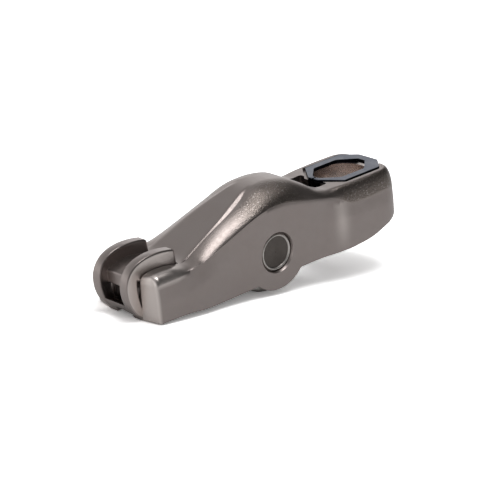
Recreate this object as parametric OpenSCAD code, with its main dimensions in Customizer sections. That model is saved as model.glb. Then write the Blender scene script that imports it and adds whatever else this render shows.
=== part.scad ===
// Roller rocker arm of formed sheet steel, with a needle-bearing cam roller, a ball socket
// and a spring clip over the socket. Millimetres. X runs from the valve end to the pivot end,
// Z points to the side that meets valve and pivot. The origin is the centre of the pivot ball.

/* [Lever length and width] */
// Distance from the roller axle to the front face of the valve end
valve_reach = 31.2; // [29:0.1:36]
// Distance from the roller axle to the centre of the pivot ball
pivot_reach = 23.8; // [22.5:0.1:28]
// Distance from the pivot ball's centre to the rear face of the lever
tail_reach = 9.2; // [9:0.1:12]
// Width over the walls at the valve end
valve_w = 18.2; // [17:0.1:22]
// Width over the walls at the roller
waist_w = 14.8; // [14.6:0.1:17]
// Width over the walls at the pivot end
pivot_w = 16.8; // [16.4:0.1:19]
// Thickness of the sheet steel
sheet_t = 2.4; // [2:0.1:2.6]

/* [Lever heights from the axle] */
// Height of the hump's crown over the roller
hump_h = 12.8; // [12.4:0.1:14]
// Height of the flat deck at the pivot end
deck_h = 7.9; // [7.4:0.1:9]
// Height of the shoulders at the valve end
shoulder_h = 5.3; // [5:0.1:6]
// Height of the saddle between valve end and hump
saddle_h = 4.7; // [4.4:0.1:5.2]
// Depth of the rim below the axle, at the roller
rim_d = 5; // [4.4:0.1:5.8]
// Depth of the rim below the axle, at the valve end
valve_rim_d = 3.8; // [3.4:0.1:4.4]
// Depth of the rim below the axle, at the tail
tail_rim_d = 1.7; // [1.4:0.1:2.8]
// Radius of the round lobe that the wall has under the axle
lobe_r = 7.4; // [6.8:0.1:7.6]

/* [Valve end] */
// Gap between the two guide ears, which takes the valve stem
ear_gap = 5.7; // [5:0.1:6.4]
// Thickness of each guide ear
ear_t = 2.15; // [1.8:0.05:2.4]
// Radius of the ears' round front above its foremost point
ear_r = 5.05; // [4.8:0.05:5.4]
// Radius of the ears' round front below its foremost point
ear_low_r = 7.4; // [6.8:0.1:8]
// Height of the ears' foremost point above the axle
ear_nose_h = 2.85; // [2.6:0.05:3.2]
// How far the ears stand in front of the front face
ear_lead = 2.9; // [2.4:0.1:3.2]
// Length of an ear along the lever, from its front to its free end
ear_len = 11.8; // [10.6:0.1:13]
// Width of the ears' curved straps, seen from the side
strap_w = 2.65; // [2.4:0.05:2.7]
// Side gap between an ear and the shoulder's front face
ear_slit = 0.15; // [0.1:0.05:0.4]
// Depth of the recess that the ears' straps stand in front of
recess_d = 0.6; // [0.4:0.1:1]
// Width of the groove between an ear and the shoulder's top
ear_groove = 0.25; // [0.2:0.05:0.4]
// Radius of the crowned pallet that the valve stem tip touches
pallet_r = 10.5; // [9.5:0.5:14]
// Height of the pallet's crown over the shoulders
pallet_rise = 0.4; // [0.1:0.05:0.6]
// How far the pallet stands in front of the front face
pallet_lead = 0.9; // [0.4:0.1:1.4]
// Height of the bottom of the window in the front face, below the axle
front_window_d = 1.2; // [0.8:0.1:1.6]

/* [Roller and bearing] */
// Outer diameter of the cam roller
roller_d = 16.8; // [16.2:0.1:17.2]
// Width of the cam roller
roller_w = 9; // [8.4:0.1:9.2]
// Chamfer on the roller's rim
roller_chamfer = 0.5; // [0.3:0.1:0.8]
// Diameter of the axle
axle_d = 7; // [6.4:0.1:7.4]
// Diameter of a needle
needle_d = 1.5; // [1.3:0.05:1.6]
// Number of needles, which nearly fill the ring
needle_count = 17; // [15:1:17]
// Radial play of a needle on its inner and on its outer track
needle_play = 0.02; // [0.01:0.005:0.03]
// How far a needle ends inside each face of the roller
needle_inset = 0.2; // [0.1:0.05:0.5]
// Depth of the axle's ends below the wall faces
axle_sink = 0.35; // [0.2:0.05:0.6]
// Width of the staked rim round the axle's end
stake_w = 0.8; // [0.5:0.05:1]
// Depth of the dish inside the staked rim
stake_d = 0.35; // [0.2:0.05:0.5]
// Width of the chamfer round each axle hole
hole_chamfer = 0.5; // [0.3:0.05:0.7]

/* [Pivot end] */
// Diameter of the ball that the socket takes
ball_d = 11; // [10:0.1:11.4]
// Height of the pivot ball's centre above the axle
ball_h = 3.6; // [3.2:0.1:4]
// Thickness of the socket's cup below the ball
cup_t = 2.1; // [1.8:0.1:2.4]
// Diameter of the oil hole in the bottom of the cup
oil_d = 1.2; // [0.8:0.1:2]
// Distance from the pivot ball's centre to the front edge of the deck's window
window_reach = 11.4; // [10.8:0.1:11.6]
// Length of the window along the lever
window_l = 4.5; // [3.8:0.1:4.6]
// Width of the window
window_w = 7.4; // [6.6:0.1:8]

/* [Retaining clip] */
// Thickness of the clip's spring sheet
clip_t = 0.7; // [0.5:0.05:0.9]
// Length of the clip's flat frame
clip_l = 14.9; // [14.4:0.1:15.4]
// Width of the clip's flat frame
clip_w = 11.3; // [10.8:0.1:12]
// Length of the opening that takes the pivot's neck
clip_open_l = 12.2; // [11.4:0.1:12.4]
// Width of the opening that takes the pivot's neck
clip_open_w = 7.9; // [7:0.1:8.2]
// Depth of the pocket that the clip lies in
pocket_d = 0.5; // [0.3:0.05:0.6]
// Side gap between clip and pocket
pocket_gap = 0.4; // [0.2:0.05:0.5]
// Width of the slit that splits the clip's front bar
clip_slit = 0.4; // [0.3:0.05:0.6]
// Depth of the clip's front tabs and of its tail hook below the frame
tab_d = 2.4; // [1.8:0.1:2.8]

/* [Hidden] */

steel = [0.45, 0.39, 0.37];
bright_steel = [0.62, 0.6, 0.58];
dark_steel = [0.2, 0.2, 0.21];
clip_blue = [0.25, 0.26, 0.31];

$fn = 64;
eps = 0.01;

axle_r = axle_d / 2;
needle_pitch_r = axle_r + needle_play + needle_d / 2;
bore_r = axle_r + 2 * needle_play + needle_d;
axle_slip = 0.01;
ball_r = ball_d / 2;

x_front = -valve_reach;
x_rear = pivot_reach + tail_reach;
front_sweep = 0.9;
front_flat = 0.5;
front_bow = 0.05;
front_corner_r = 1.2;
rear_corner_r = 5.4;

// Node name of needle number i, counted from 1
function needle_name(i) = str("needle_", i < 10 ? "0" : "", i);

// Key stations of the lever: x, wall half width at the rim, wall half width at the shoulder
// band, half width of the web's flat, web height, band foot height, rim height, height of the
// soft crease in the wall, and the band's sweep angle in degrees
kv = valve_reach / 31.2;
kp = pivot_reach / 23.8;
vw = valve_w / 2;
ww = waist_w / 2;
pw = pivot_w / 2;
KEYS = [
    [x_front, vw - 0.3, vw - 0.5, 5.5, shoulder_h - 0.85, shoulder_h - 1.6, 0.5 - valve_rim_d, 0, 62],
    [x_front + 0.9, vw - 0.15, vw - 0.35, 5.3, shoulder_h - 0.4, shoulder_h - 1.6, 0.35 - valve_rim_d, 0, 62],
    [x_front + 2.4, vw, vw - 0.2, 5.2, shoulder_h, shoulder_h - 1.4, -valve_rim_d, -0.2, 62],
    [-25.4 * kv, vw - 0.05, vw - 0.35, 5.1, shoulder_h - 0.1, shoulder_h - 1.1, -valve_rim_d - 0.1, -0.5, 60],
    [-22.2 * kv, vw - 0.25, vw - 0.7, 5.6, saddle_h, saddle_h - 0.5, -valve_rim_d - 0.35, -0.8, 56],
    [-18 * kv, ww + 1.1, ww + 0.65, 5.5, saddle_h + 1.6, saddle_h - 0.3, -rim_d + 0.45, 0, 52],
    [-14 * kv, ww + 0.5, ww + 0.3, 5.05, saddle_h + 3.35, saddle_h + 0.75, -rim_d + 0.2, 1.2, 52],
    [-10, ww + 0.15, ww + 0.1, 4.5, hump_h - 3, hump_h - 6.1, -rim_d + 0.05, 2.2, 60],
    [-6, ww, ww, 3.8, hump_h - 1.35, hump_h - 4.8, -rim_d, 3, 75],
    [-2, ww, ww, 2.7, hump_h - 0.1, hump_h - 3.8, -rim_d, 3.4, 90],
    [2.6, ww, ww, 1.4, hump_h, hump_h - 3.9, -rim_d + 0.1, 3.5, 90],
    [7, ww, ww, 1.8, hump_h - 0.8, hump_h - 4.8, -rim_d + 0.25, 3, 90],
    [10 * kp, ww + 0.1, ww, 3, deck_h + 2.5, hump_h - 5.4, -rim_d + 0.3, 2.5, 90],
    [12.2 * kp, pw - 0.75, ww + 0.1, 4.2, deck_h + 0.8, deck_h - 0.9, -rim_d + 0.3, 2, 90],
    [14.2 * kp, pw - 0.4, ww + 0.25, 5.7, deck_h, deck_h - 1.4, -rim_d + 0.3, 1.7, 90],
    [16.6 * kp, pw - 0.2, pw - 0.55, 6.3, deck_h, deck_h - 2.6, -rim_d + 0.25, 1.4, 90],
    [19 * kp, pw - 0.1, pw - 0.3, 6.5, deck_h, deck_h - 3.8, -rim_d + 0.25, 1.2, 90],
    [pivot_reach, pw, pw - 0.2, 6.5, deck_h, deck_h - 4, -rim_d + 0.8, 1, 90],
    [pivot_reach + 4.2, pw - 0.2, pw - 0.4, 6.3, deck_h, deck_h - 4, -tail_rim_d - 1.3, 0.8, 90],
    [x_rear, pw - 0.6, pw - 0.8, 5.8, deck_h, deck_h - 4.6, -tail_rim_d, 0.8, 90],
];
W_RIM = 1;
W_BAND = 2;
W_FLAT = 3;
Z_WEB = 4;
Z_FOOT = 5;
Z_RIM = 6;
Z_CREASE = 7;
SWEEP = 8;

// Slope of a key column at key i, from its neighbours
function key_slope(col, i) =
    let (a = KEYS[max(i - 1, 0)], b = KEYS[min(i + 1, len(KEYS) - 1)])
    (b[col] - a[col]) / (b[0] - a[0]);

// Index of the key at or before x
function key_at(x, i = 0) = i >= len(KEYS) - 2 || KEYS[i + 1][0] > x ? i : key_at(x, i + 1);

// Smooth curve through a key column at x
function keyed(col, x_in) =
    let (
        x = min(max(x_in, x_front), x_rear),
        i = key_at(x),
        a = KEYS[i],
        b = KEYS[i + 1],
        h = b[0] - a[0],
        t = (x - a[0]) / h,
        t2 = t * t,
        t3 = t2 * t
    )
    (2 * t3 - 3 * t2 + 1) * a[col] + (t3 - 2 * t2 + t) * h * key_slope(col, i)
        + (3 * t2 - 2 * t3) * b[col] + (t3 - t2) * h * key_slope(col, i + 1);

// Height of the rim at x, with the round lobe under the axle
function rim_z(x) =
    let (base = keyed(Z_RIM, x), inside = abs(x) < lobe_r)
    inside ? min(base, -sqrt(lobe_r * lobe_r - x * x)) : base;

// Height of the web's underside at x, one sheet thickness in from the web
function web_in_z(x) =
    let (s = (keyed(Z_WEB, x + 0.2) - keyed(Z_WEB, x - 0.2)) / 0.4)
    keyed(Z_WEB, x) - sheet_t * sqrt(1 + s * s);

// Plan outline of the near half, as x and the share of the half width
corner_steps = 4;
side_steps = 44;
rear_steps = 8;
side_x0 = x_front + front_sweep + front_corner_r;
side_x1 = x_rear - rear_corner_r;
OUTLINE = concat(
    [[x_front, 0]],
    [
        for (k = [0:2])
            [
                x_front + front_bow + (front_sweep - front_bow) * k / 3,
                front_flat + (1 - front_corner_r / vw - front_flat) * k / 3
            ]
    ],
    [
        for (k = [0:corner_steps])
            let (a = 90 * k / corner_steps)
                [side_x0 - front_corner_r * cos(a), 1 - front_corner_r * (1 - sin(a)) / vw]
    ],
    [for (k = [1:side_steps]) [side_x0 + (side_x1 - side_x0) * k / side_steps, 1]],
    [
        for (k = [1:rear_steps])
            let (a = 90 * k / rear_steps)
                [side_x1 + rear_corner_r * sin(a), 1 - rear_corner_r * (1 - cos(a)) / pw]
    ],
    [[x_rear, 0]]
);
half_n = len(OUTLINE);
ring_n = 2 * half_n - 2;

// Full ring from a function's near-half points, mirrored to the far side
function full_ring(half) = concat(half, [for (i = [half_n - 2:-1:1]) [half[i][0], -half[i][1], half[i][2]]]);

// How far a point has to move inwards from both ends to lie in the web's flat
front_inset = 0.6;
rear_inset = 3;
function flat_x(x) =
    x + front_inset * pow(max(0, 1 - (x - x_front) / 4), 2)
        - rear_inset * pow(max(0, 1 - (x_rear - x) / rear_corner_r), 2);

// Inner plan: x drawn in by one sheet thickness at both ends
function inner_x(x) = x_front + sheet_t + (x - x_front) * (x_rear - x_front - 2 * sheet_t) / (x_rear - x_front);

// Outer rings: rim, soft crease, band foot, then the band up to the web's flat
band_steps = 5;
OUTER = concat(
    [full_ring([for (p = OUTLINE) [p[0], -p[1] * keyed(W_RIM, p[0]), rim_z(p[0])]])],
    [full_ring([for (p = OUTLINE) [p[0], -p[1] * keyed(W_RIM, p[0]), keyed(Z_CREASE, p[0])]])],
    [
        for (k = [0:band_steps])
            full_ring([
                for (p = OUTLINE)
                    let (
                        x1 = p[0],
                        x2 = flat_x(x1),
                        a_end = keyed(SWEEP, x1),
                        a = a_end * k / band_steps,
                        along = (1 - cos(a)) / (1 - cos(a_end)),
                        up = sin(a) / sin(a_end),
                        y1 = keyed(W_BAND, x1),
                        y2 = keyed(W_FLAT, x2),
                        z1 = keyed(Z_FOOT, x1),
                        z2 = keyed(Z_WEB, x2)
                    )
                        [x1 + (x2 - x1) * along, -p[1] * (y1 + (y2 - y1) * along), z1 + (z2 - z1) * up]
            ])
    ]
);

// Inner rings, from the rim to the edge of the web's underside
in_steps = 3;
in_band = 1.6;
INNER = concat(
    [
        full_ring([
            for (p = OUTLINE)
                let (x = inner_x(p[0]))
                    [x, -p[1] * (keyed(W_RIM, x) - sheet_t), rim_z(x)]
        ])
    ],
    [
        for (k = [0:in_steps])
            full_ring([
                for (p = OUTLINE)
                    let (
                        x = inner_x(p[0]),
                        a = 90 * k / in_steps,
                        w = keyed(W_BAND, x) - sheet_t,
                        top = web_in_z(x)
                    )
                        [x, -p[1] * (w - in_band * (1 - cos(a))), top - in_band * (1 - sin(a))]
            ])
    ]
);

// Triangles between ring a and ring b of a stack
function band_faces(a, b) = [
    for (i = [0:ring_n - 1])
        let (j = (i + 1) % ring_n, p = a * ring_n, q = b * ring_n)
            each [[p + i, q + j, p + j], [p + i, q + i, q + j]]
];

// Triangles of the strip that closes ring r across the lever
function cap_faces(r, flip) = [
    for (i = [0:half_n - 2])
        let (
            base = r * ring_n,
            n0 = base + i,
            n1 = base + i + 1,
            f0 = base + (ring_n - i) % ring_n,
            f1 = base + (ring_n - i - 1)
        )
            each [
                for (t = concat(
                    n0 == f0 ? [] : [[n0, f0, n1]],
                    n1 == f1 ? [] : [[n1, f0, f1]]
                ))
                    flip ? [t[2], t[1], t[0]] : t
            ]
];

// Drawn sheet: one closed skin of the outer rings, the inner rings and the rim between them
module drawn_sheet() {
    stack = concat([for (k = [len(INNER) - 1:-1:0]) INNER[k]], OUTER);
    points = [for (ring = stack) each ring];
    last = len(stack) - 1;
    faces = concat(
        [for (k = [0:last - 1]) each band_faces(k, k + 1)],
        cap_faces(0, true),
        cap_faces(last, false)
    );
    polyhedron(points, faces, convexity = 10);
}

// Points of an arc in X and Z about a centre, from one angle to another
function arc_points(cx, cz, r, a0, a1, n) = [
    for (k = [0:n])
        let (a = a0 + (a1 - a0) * k / n)
            [cx + r * cos(a), cz + r * sin(a)]
];

// Outline of an ear in side view: round front, nearly straight top, square free end and a root
// that stays inside the shoulder
ear_x = x_front - ear_lead;
ear_top_z = ear_nose_h + ear_r;
ear_end_x = ear_x + ear_len;
ear_end_drop = 0.9;
ear_end_z = ear_top_z - ear_end_drop;
ear_end_r = 0.4;
ear_foot_a = 242;
ear_turn_a = 186;
ear_top_a = 94;
ear_top_l = 3.2;
ear_top_drop = 0.3;
ear_end_lean = 0.2;
ear_seat_l = 2;
seat_in = 0.6;
strap_r = 12;
strap_top_a = 174;
strap_foot_a = 200;
seam_z = -1.1;
seam_lap = 0.4;
foot_z = 0.4 - valve_rim_d;
foot_x = x_front + 1.9;
root_z = shoulder_h - 2;
root_x0 = x_front + 0.8;
root_x1 = x_front + 3.4;
root_lap = 0.15;
module ear_outline() {
    up_x = ear_x + ear_r;
    polygon(concat(
        arc_points(ear_x + ear_low_r, ear_nose_h, ear_low_r, ear_foot_a, ear_turn_a, 8),
        arc_points(up_x, ear_nose_h, ear_r, 180, ear_top_a, 11),
        [
            [up_x + ear_top_l, ear_top_z - ear_top_drop],
            [ear_end_x - ear_end_r, ear_end_z],
            [ear_end_x, ear_end_z - ear_end_r],
            [ear_end_x + ear_end_lean, saddle_h - seat_in],
            [ear_end_x - ear_seat_l, saddle_h - 1.5 * seat_in],
            [root_x1, root_z],
            [root_x0, root_z],
            [x_front + root_lap, slit_top_z - root_lap],
        ],
        arc_points(ear_x + strap_w + strap_r, ear_nose_h, strap_r, strap_top_a, strap_foot_a, 4),
        [[foot_x - seam_lap, seam_z - seam_lap], [foot_x, foot_z]]
    ));
}

// Straight piece along Y with a given outline in X and Z, from y0 to y1
module along_y(y0, y1) {
    translate([0, y1, 0]) rotate([90, 0, 0]) linear_extrude(y1 - y0) children();
}

ear_y0 = ear_gap / 2;
ear_y1 = ear_gap / 2 + ear_t;
module ears() {
    along_y(ear_y0, ear_y1) ear_outline();
    along_y(-ear_y1, -ear_y0) ear_outline();
}

// Bridge below the pallet: a strap along the ears' lower front curve that ties them
bridge_top_a = 206.5;
bridge_foot_a = 238;
bridge_inset = 0.12;
bridge_t = 1.1;
bridge_step = 0.7;
joint_l = 1;
module bridge() {
    along_y(-ear_y0 - joint_l, ear_y0 + joint_l)
        polygon(concat(
            arc_points(ear_x + ear_low_r, ear_nose_h, ear_low_r - bridge_inset, bridge_top_a, bridge_foot_a, 7),
            [
                [root_x0, bridge_step - valve_rim_d],
                [x_front + bridge_step / 2, -front_window_d - bridge_t],
                [x_front - bridge_step / 2, -front_window_d - bridge_t / 4],
            ]
        ));
}

// Slot between the ears above the crowned pallet
pallet_back = 3.8;
pallet_x = x_front + pallet_back;
pallet_z = shoulder_h + pallet_rise;
pallet_front_a = 116;
pallet_rear_a = 71.5;
pallet_tail_l = 0.6;
pallet_tail_h = 0.25;
over = 1;
module stem_slot() {
    along_y(-ear_y0, ear_y0)
        polygon(concat(
            arc_points(pallet_x, pallet_z - pallet_r, pallet_r, pallet_front_a, pallet_rear_a, 15),
            [
                [ear_end_x - pallet_tail_l, saddle_h + pallet_tail_h],
                [ear_end_x + over, saddle_h + 2 * pallet_tail_h],
                [ear_end_x + over, ear_top_z + over],
                [ear_x - over, ear_top_z + over],
            ]
        ));
}

// Front wall cut away between the shoulders, where ears, pallet and bridge take its place
slit_top_d = 1.25;
slit_top_z = shoulder_h - slit_top_d;
pallet_foot_z = 2.1;
seat_w = ear_gap + 2 * ear_t;
seat_lap = 0.3;
module front_cut() {
    slit_w = seat_w + 2 * ear_slit;
    window_h = pallet_foot_z + front_window_d;
    foot_h = valve_rim_d + over;
    translate([x_front - over, -ear_y0, -front_window_d]) cube([sheet_t + front_sweep + over, ear_gap, window_h]);
    translate([x_front - over, -slit_w / 2, seam_z]) cube([recess_d + over, slit_w, slit_top_z - seam_z]);
    translate([x_front - over, seat_lap - seat_w / 2, -foot_h])
        cube([recess_d + over, seat_w - 2 * seat_lap, foot_h + seam_z + eps]);
}

// Arch in the bottom edge of bridge and front wall
arch_top_z = -1.9;
arch_r = 3.5;
module arch() {
    translate([ear_x - over, 0, arch_top_z - arch_r])
        rotate([0, 90, 0]) cylinder(h = ear_lead + sheet_t + front_sweep + over, r = arch_r);
}

// Body of the pallet between the ears, with its nose in front of the shoulders
pallet_neck = 0.9;
pallet_foot_x = x_front + 2.6;
module pallet_nose() {
    x0 = x_front - pallet_lead;
    x1 = ear_end_x - pallet_tail_l;
    along_y(-ear_y0 - joint_l / 2, ear_y0 + joint_l / 2)
        polygon([
            [x0, pallet_foot_z],
            [x0, pallet_z + over],
            [x1, pallet_z + over],
            [x1, saddle_h - pallet_neck],
            [root_x1, pallet_foot_z + pallet_neck],
            [pallet_foot_x, pallet_foot_z],
        ]);
}

// Grooves that part the ears from the shoulders' top
groove_d = 1;
groove_tail = 0.3;
module ear_grooves() {
    for (s = [0, 1])
        mirror([0, s, 0])
            translate([x_front - over, ear_y1, shoulder_h - groove_d])
                cube([ear_end_x + groove_tail - x_front + over, ear_groove, groove_d + over]);
}

// Axle holes through both walls, chamfered outside
module axle_holes() {
    hole_r = axle_r + axle_slip;
    rotate([90, 0, 0]) cylinder(h = waist_w + 2 * over, r = hole_r, center = true);
    for (s = [-1, 1])
        rotate([s * 90, 0, 0])
            translate([0, 0, ww - hole_chamfer])
                cylinder(h = 2 * hole_chamfer, r1 = hole_r, r2 = hole_r + 2 * hole_chamfer);
}

// Cup of the ball socket, a ball that ends inside the deck's sheet
cup_r = ball_r + cup_t;
cup_inset = 0.5;
cup_top_z = deck_h - pocket_d - cup_inset;
module socket_cup() {
    translate([pivot_reach, 0, ball_h])
        intersection() {
            sphere(r = cup_r);
            translate([0, 0, -cup_r - over]) cylinder(h = cup_top_z - ball_h + cup_r + over, r = cup_r + over);
        }
}

// Socket: half a ball, a slightly wider bore above it and the oil hole below
socket_play = 0.1;
module socket_hollow() {
    translate([pivot_reach, 0, ball_h]) {
        sphere(r = ball_r);
        cylinder(h = deck_h, r = ball_r + socket_play);
        translate([0, 0, -cup_r - over]) cylinder(h = cup_r + over, d = oil_d);
    }
}

window_x = pivot_reach - window_reach;
window_r = 1;
window_d = 2 * sheet_t;
module deck_window() {
    r = window_r;
    translate([window_x, -window_w / 2, deck_h - window_d])
        linear_extrude(window_d + hump_h - deck_h)
            hull()
                for (x = [r, window_l - r], y = [r, window_w - r]) translate([x, y]) circle(r = r, $fn = 24);
}

// Plan of the clip's frame, grown by g all round
clip_shift = 0.2;
clip_x0 = pivot_reach + clip_shift - clip_l / 2;
clip_x1 = clip_x0 + clip_l;
front_bar_w = 2.4;
rear_bar_w = 5;
front_corner_l = 3.2;
rear_corner_l = 2.5;
module clip_plan(g = 0) {
    h = clip_w / 2 + g;
    polygon([
        [clip_x0 - g, -front_bar_w / 2 - g],
        [clip_x0 + front_corner_l - g / 2, -h],
        [clip_x1 - rear_corner_l + g / 2, -h],
        [clip_x1 + g, -rear_bar_w / 2 - g],
        [clip_x1 + g, rear_bar_w / 2 + g],
        [clip_x1 - rear_corner_l + g / 2, h],
        [clip_x0 + front_corner_l - g / 2, h],
        [clip_x0 - g, front_bar_w / 2 + g],
    ]);
}

open_shift = 0.3;
open_x0 = pivot_reach - open_shift - clip_open_l / 2;
open_corner_l = 3.1;
open_nose = 0.9;
module clip_opening() {
    h = clip_open_w / 2;
    x1 = open_x0 + clip_open_l;
    polygon([
        [open_x0, -open_nose],
        [open_x0 + open_corner_l, -h],
        [x1 - open_corner_l, -h],
        [x1, -open_nose],
        [x1, open_nose],
        [x1 - open_corner_l, h],
        [open_x0 + open_corner_l, h],
        [open_x0, open_nose],
    ]);
}

clip_z = deck_h - pocket_d;
tab_play = 0.1;
tab_floor = 0.4;
module clip_pocket() {
    tab_x0 = window_x + window_r;
    tab_x1 = clip_x1 - clip_t - tab_play;
    tab_z = clip_z - tab_d - tab_floor;
    tab_h = tab_d + tab_floor + pocket_d + over;
    translate([0, 0, clip_z]) linear_extrude(pocket_d + over) clip_plan(pocket_gap);
    translate([tab_x1, -rear_bar_w / 2 - pocket_gap, tab_z])
        cube([x_rear - tab_x1 + over, rear_bar_w + 2 * pocket_gap, tab_h]);
    translate([tab_x0, -front_bar_w / 2 - pocket_gap, tab_z])
        cube([clip_x0 + clip_t + tab_play - tab_x0, front_bar_w + 2 * pocket_gap, tab_h]);
}

module lever_body() {
    color(steel)
        translate([-pivot_reach, 0, -ball_h])
            difference() {
                union() {
                    difference() {
                        drawn_sheet();
                        front_cut();
                        ear_grooves();
                    }
                    ears();
                    pallet_nose();
                    bridge();
                    socket_cup();
                }
                stem_slot();
                arch();
                axle_holes();
                socket_hollow();
                deck_window();
                clip_pocket();
            }
}

// Axle with a staked rim round a shallow dish in each end
stake_share = 0.7;
axle_edge = 0.15;
module roller_axle() {
    h = waist_w / 2 - axle_sink;
    color(dark_steel)
        translate([-pivot_reach, 0, -ball_h])
            rotate([90, 0, 0])
                rotate_extrude()
                    polygon([
                        [0, -h + stake_d],
                        [axle_r - stake_w, -h + stake_d],
                        [axle_r - stake_share * stake_w, -h],
                        [axle_r - axle_edge, -h],
                        [axle_r, -h + axle_edge],
                        [axle_r, h - axle_edge],
                        [axle_r - axle_edge, h],
                        [axle_r - stake_share * stake_w, h],
                        [axle_r - stake_w, h - stake_d],
                        [0, h - stake_d],
                    ]);
}

// Hardened ring that the cam runs on
bore_chamfer = 0.3;
module roller() {
    r = roller_d / 2;
    h = roller_w / 2;
    c = roller_chamfer;
    in_c = bore_chamfer;
    color(bright_steel)
        translate([-pivot_reach, 0, -ball_h])
            rotate([90, 0, 0])
                rotate_extrude($fn = 96)
                    polygon([
                        [bore_r, -h + in_c],
                        [bore_r + in_c, -h],
                        [r - c, -h],
                        [r, -h + c],
                        [r, h - c],
                        [r - c, h],
                        [bore_r + in_c, h],
                        [bore_r, h - in_c],
                    ]);
}

// One needle of the full row between axle and roller
module needle(i) {
    color(bright_steel)
        translate([-pivot_reach, 0, -ball_h])
            rotate([0, -360 * (i - 1) / needle_count, 0])
                translate([needle_pitch_r, 0, 0])
                    rotate([90, 0, 0])
                        cylinder(h = roller_w - 2 * needle_inset, d = needle_d, center = true, $fn = 24);
}

// Spring clip: flat frame split at the front, two front tabs and a tail hook
module retaining_clip() {
    tab_w = front_bar_w / 2 - clip_slit / 2;
    color(clip_blue)
        translate([-pivot_reach, 0, -ball_h]) {
            difference() {
                union() {
                    translate([0, 0, clip_z])
                        linear_extrude(clip_t)
                            difference() {
                                clip_plan();
                                clip_opening();
                            }
                    translate([clip_x0, -front_bar_w / 2, clip_z - tab_d]) cube([clip_t, front_bar_w, tab_d + clip_t]);
                    translate([clip_x1 - clip_t, -rear_bar_w / 2, clip_z - tab_d])
                        cube([clip_t, rear_bar_w, tab_d + clip_t]);
                }
                translate([clip_x0 - over, -clip_slit / 2, clip_z - tab_d - over])
                    cube([open_x0 - clip_x0 + 2 * over, clip_slit, tab_d + clip_t + 2 * over]);
            }
        }
}

lever_body();
roller_axle();
roller();
retaining_clip();
for (i = [1:needle_count]) needle(i);
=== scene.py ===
import logging
import math
from abc import ABC, abstractmethod
from dataclasses import dataclass, field
from enum import Enum
from typing import Callable, Sequence

import bmesh
import bpy
import numpy as np
from mathutils import Matrix, Vector


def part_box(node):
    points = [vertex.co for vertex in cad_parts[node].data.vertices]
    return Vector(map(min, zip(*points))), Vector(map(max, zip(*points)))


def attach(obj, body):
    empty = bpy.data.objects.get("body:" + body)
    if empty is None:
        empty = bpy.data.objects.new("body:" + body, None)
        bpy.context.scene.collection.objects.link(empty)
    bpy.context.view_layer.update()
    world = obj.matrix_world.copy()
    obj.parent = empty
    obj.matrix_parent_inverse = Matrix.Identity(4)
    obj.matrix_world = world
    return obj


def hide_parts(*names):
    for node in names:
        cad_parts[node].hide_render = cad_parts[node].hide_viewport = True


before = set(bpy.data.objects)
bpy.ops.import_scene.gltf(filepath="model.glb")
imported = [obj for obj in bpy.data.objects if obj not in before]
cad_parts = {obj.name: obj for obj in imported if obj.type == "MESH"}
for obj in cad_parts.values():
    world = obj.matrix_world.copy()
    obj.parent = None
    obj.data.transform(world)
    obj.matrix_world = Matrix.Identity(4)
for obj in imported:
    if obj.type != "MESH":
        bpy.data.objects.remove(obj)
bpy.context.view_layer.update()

MM = 0.001
SKIN_GAP = 1e-7
CUT_GAP = 1e-6
NO_LENGTH = 1e-6
FINE_SHARP = 40.0
PAST = 1.0
LOG = logging.getLogger("rocker_arm")

Point = tuple[float, float]
Place = tuple[float, float, float]
Colour = tuple[float, float, float]
Ring = tuple[np.ndarray, np.ndarray, np.ndarray]
Faces = list[tuple[int, ...]]
Piece = bpy.types.Object
Node = bpy.types.Node
Socket = bpy.types.NodeSocket


def box_centre(node: str) -> Vector:
    """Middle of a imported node's box, in metres."""
    low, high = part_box(node)
    return (Vector(low) + Vector(high)) / 2


def box_length(node: str, axis: int) -> float:
    """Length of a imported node's box along an axis, in millimetres."""
    low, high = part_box(node)
    return (high[axis] - low[axis]) / MM


AXLE = box_centre("roller_axle")
AXLE_R = box_length("roller_axle", 2) / 2
AXLE_L = box_length("roller_axle", 1)
ROLLER_R = box_length("roller", 2) / 2
ROLLER_W = box_length("roller", 1)


class Cut(Enum):
    """What a boolean does with its tool."""

    ADD = "UNION"
    TAKE = "DIFFERENCE"


class Axis(Enum):
    """Axis that a plate's thickness runs along or that a turned form is round."""

    X = 0
    Y = 1
    Z = 2


def add_object(name: str, data: bpy.types.ID) -> bpy.types.Object:
    """Puts a mesh, camera or lamp in the scene.

    Args:
        name: Name of the new object.
        data: The mesh, camera or lamp.

    Returns:
        The new object.
    """
    made = bpy.data.objects.new(name, data)
    bpy.context.scene.collection.objects.link(made)
    return made


def make_object(name: str, points: np.ndarray, faces: Faces) -> Piece:
    """Builds a mesh piece from points given in millimetres from the axle's centre.

    Args:
        name: Name of the object and its mesh.
        points: Array of n points by 3.
        faces: Point indices of each face.

    Returns:
        The new piece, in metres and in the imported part's frame.
    """
    mesh = bpy.data.meshes.new(name)
    mesh.from_pydata((points * MM + np.array(AXLE)).tolist(), [], faces)
    made = add_object(name, mesh)
    weld(made, SKIN_GAP)
    return made


def weld(piece: Piece, gap: float) -> None:
    """Joins points that coincide, drops empty faces and turns every face outwards.

    Args:
        piece: Piece whose mesh is cleaned.
        gap: Largest gap that is closed, in metres.
    """
    shape = bmesh.new()
    shape.from_mesh(piece.data)
    bmesh.ops.remove_doubles(shape, verts=shape.verts, dist=gap)
    bmesh.ops.dissolve_degenerate(shape, edges=shape.edges, dist=gap)
    bmesh.ops.recalc_face_normals(shape, faces=shape.faces)
    shape.to_mesh(piece.data)
    shape.free()


def vertex_places(piece: Piece) -> np.ndarray:
    """Reads where a piece's vertices are.

    Args:
        piece: Piece with a mesh.

    Returns:
        Array of n points by 3, in metres.
    """
    places = np.empty(len(piece.data.vertices) * 3)
    piece.data.vertices.foreach_get("co", places)
    return places.reshape(-1, 3)


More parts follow.
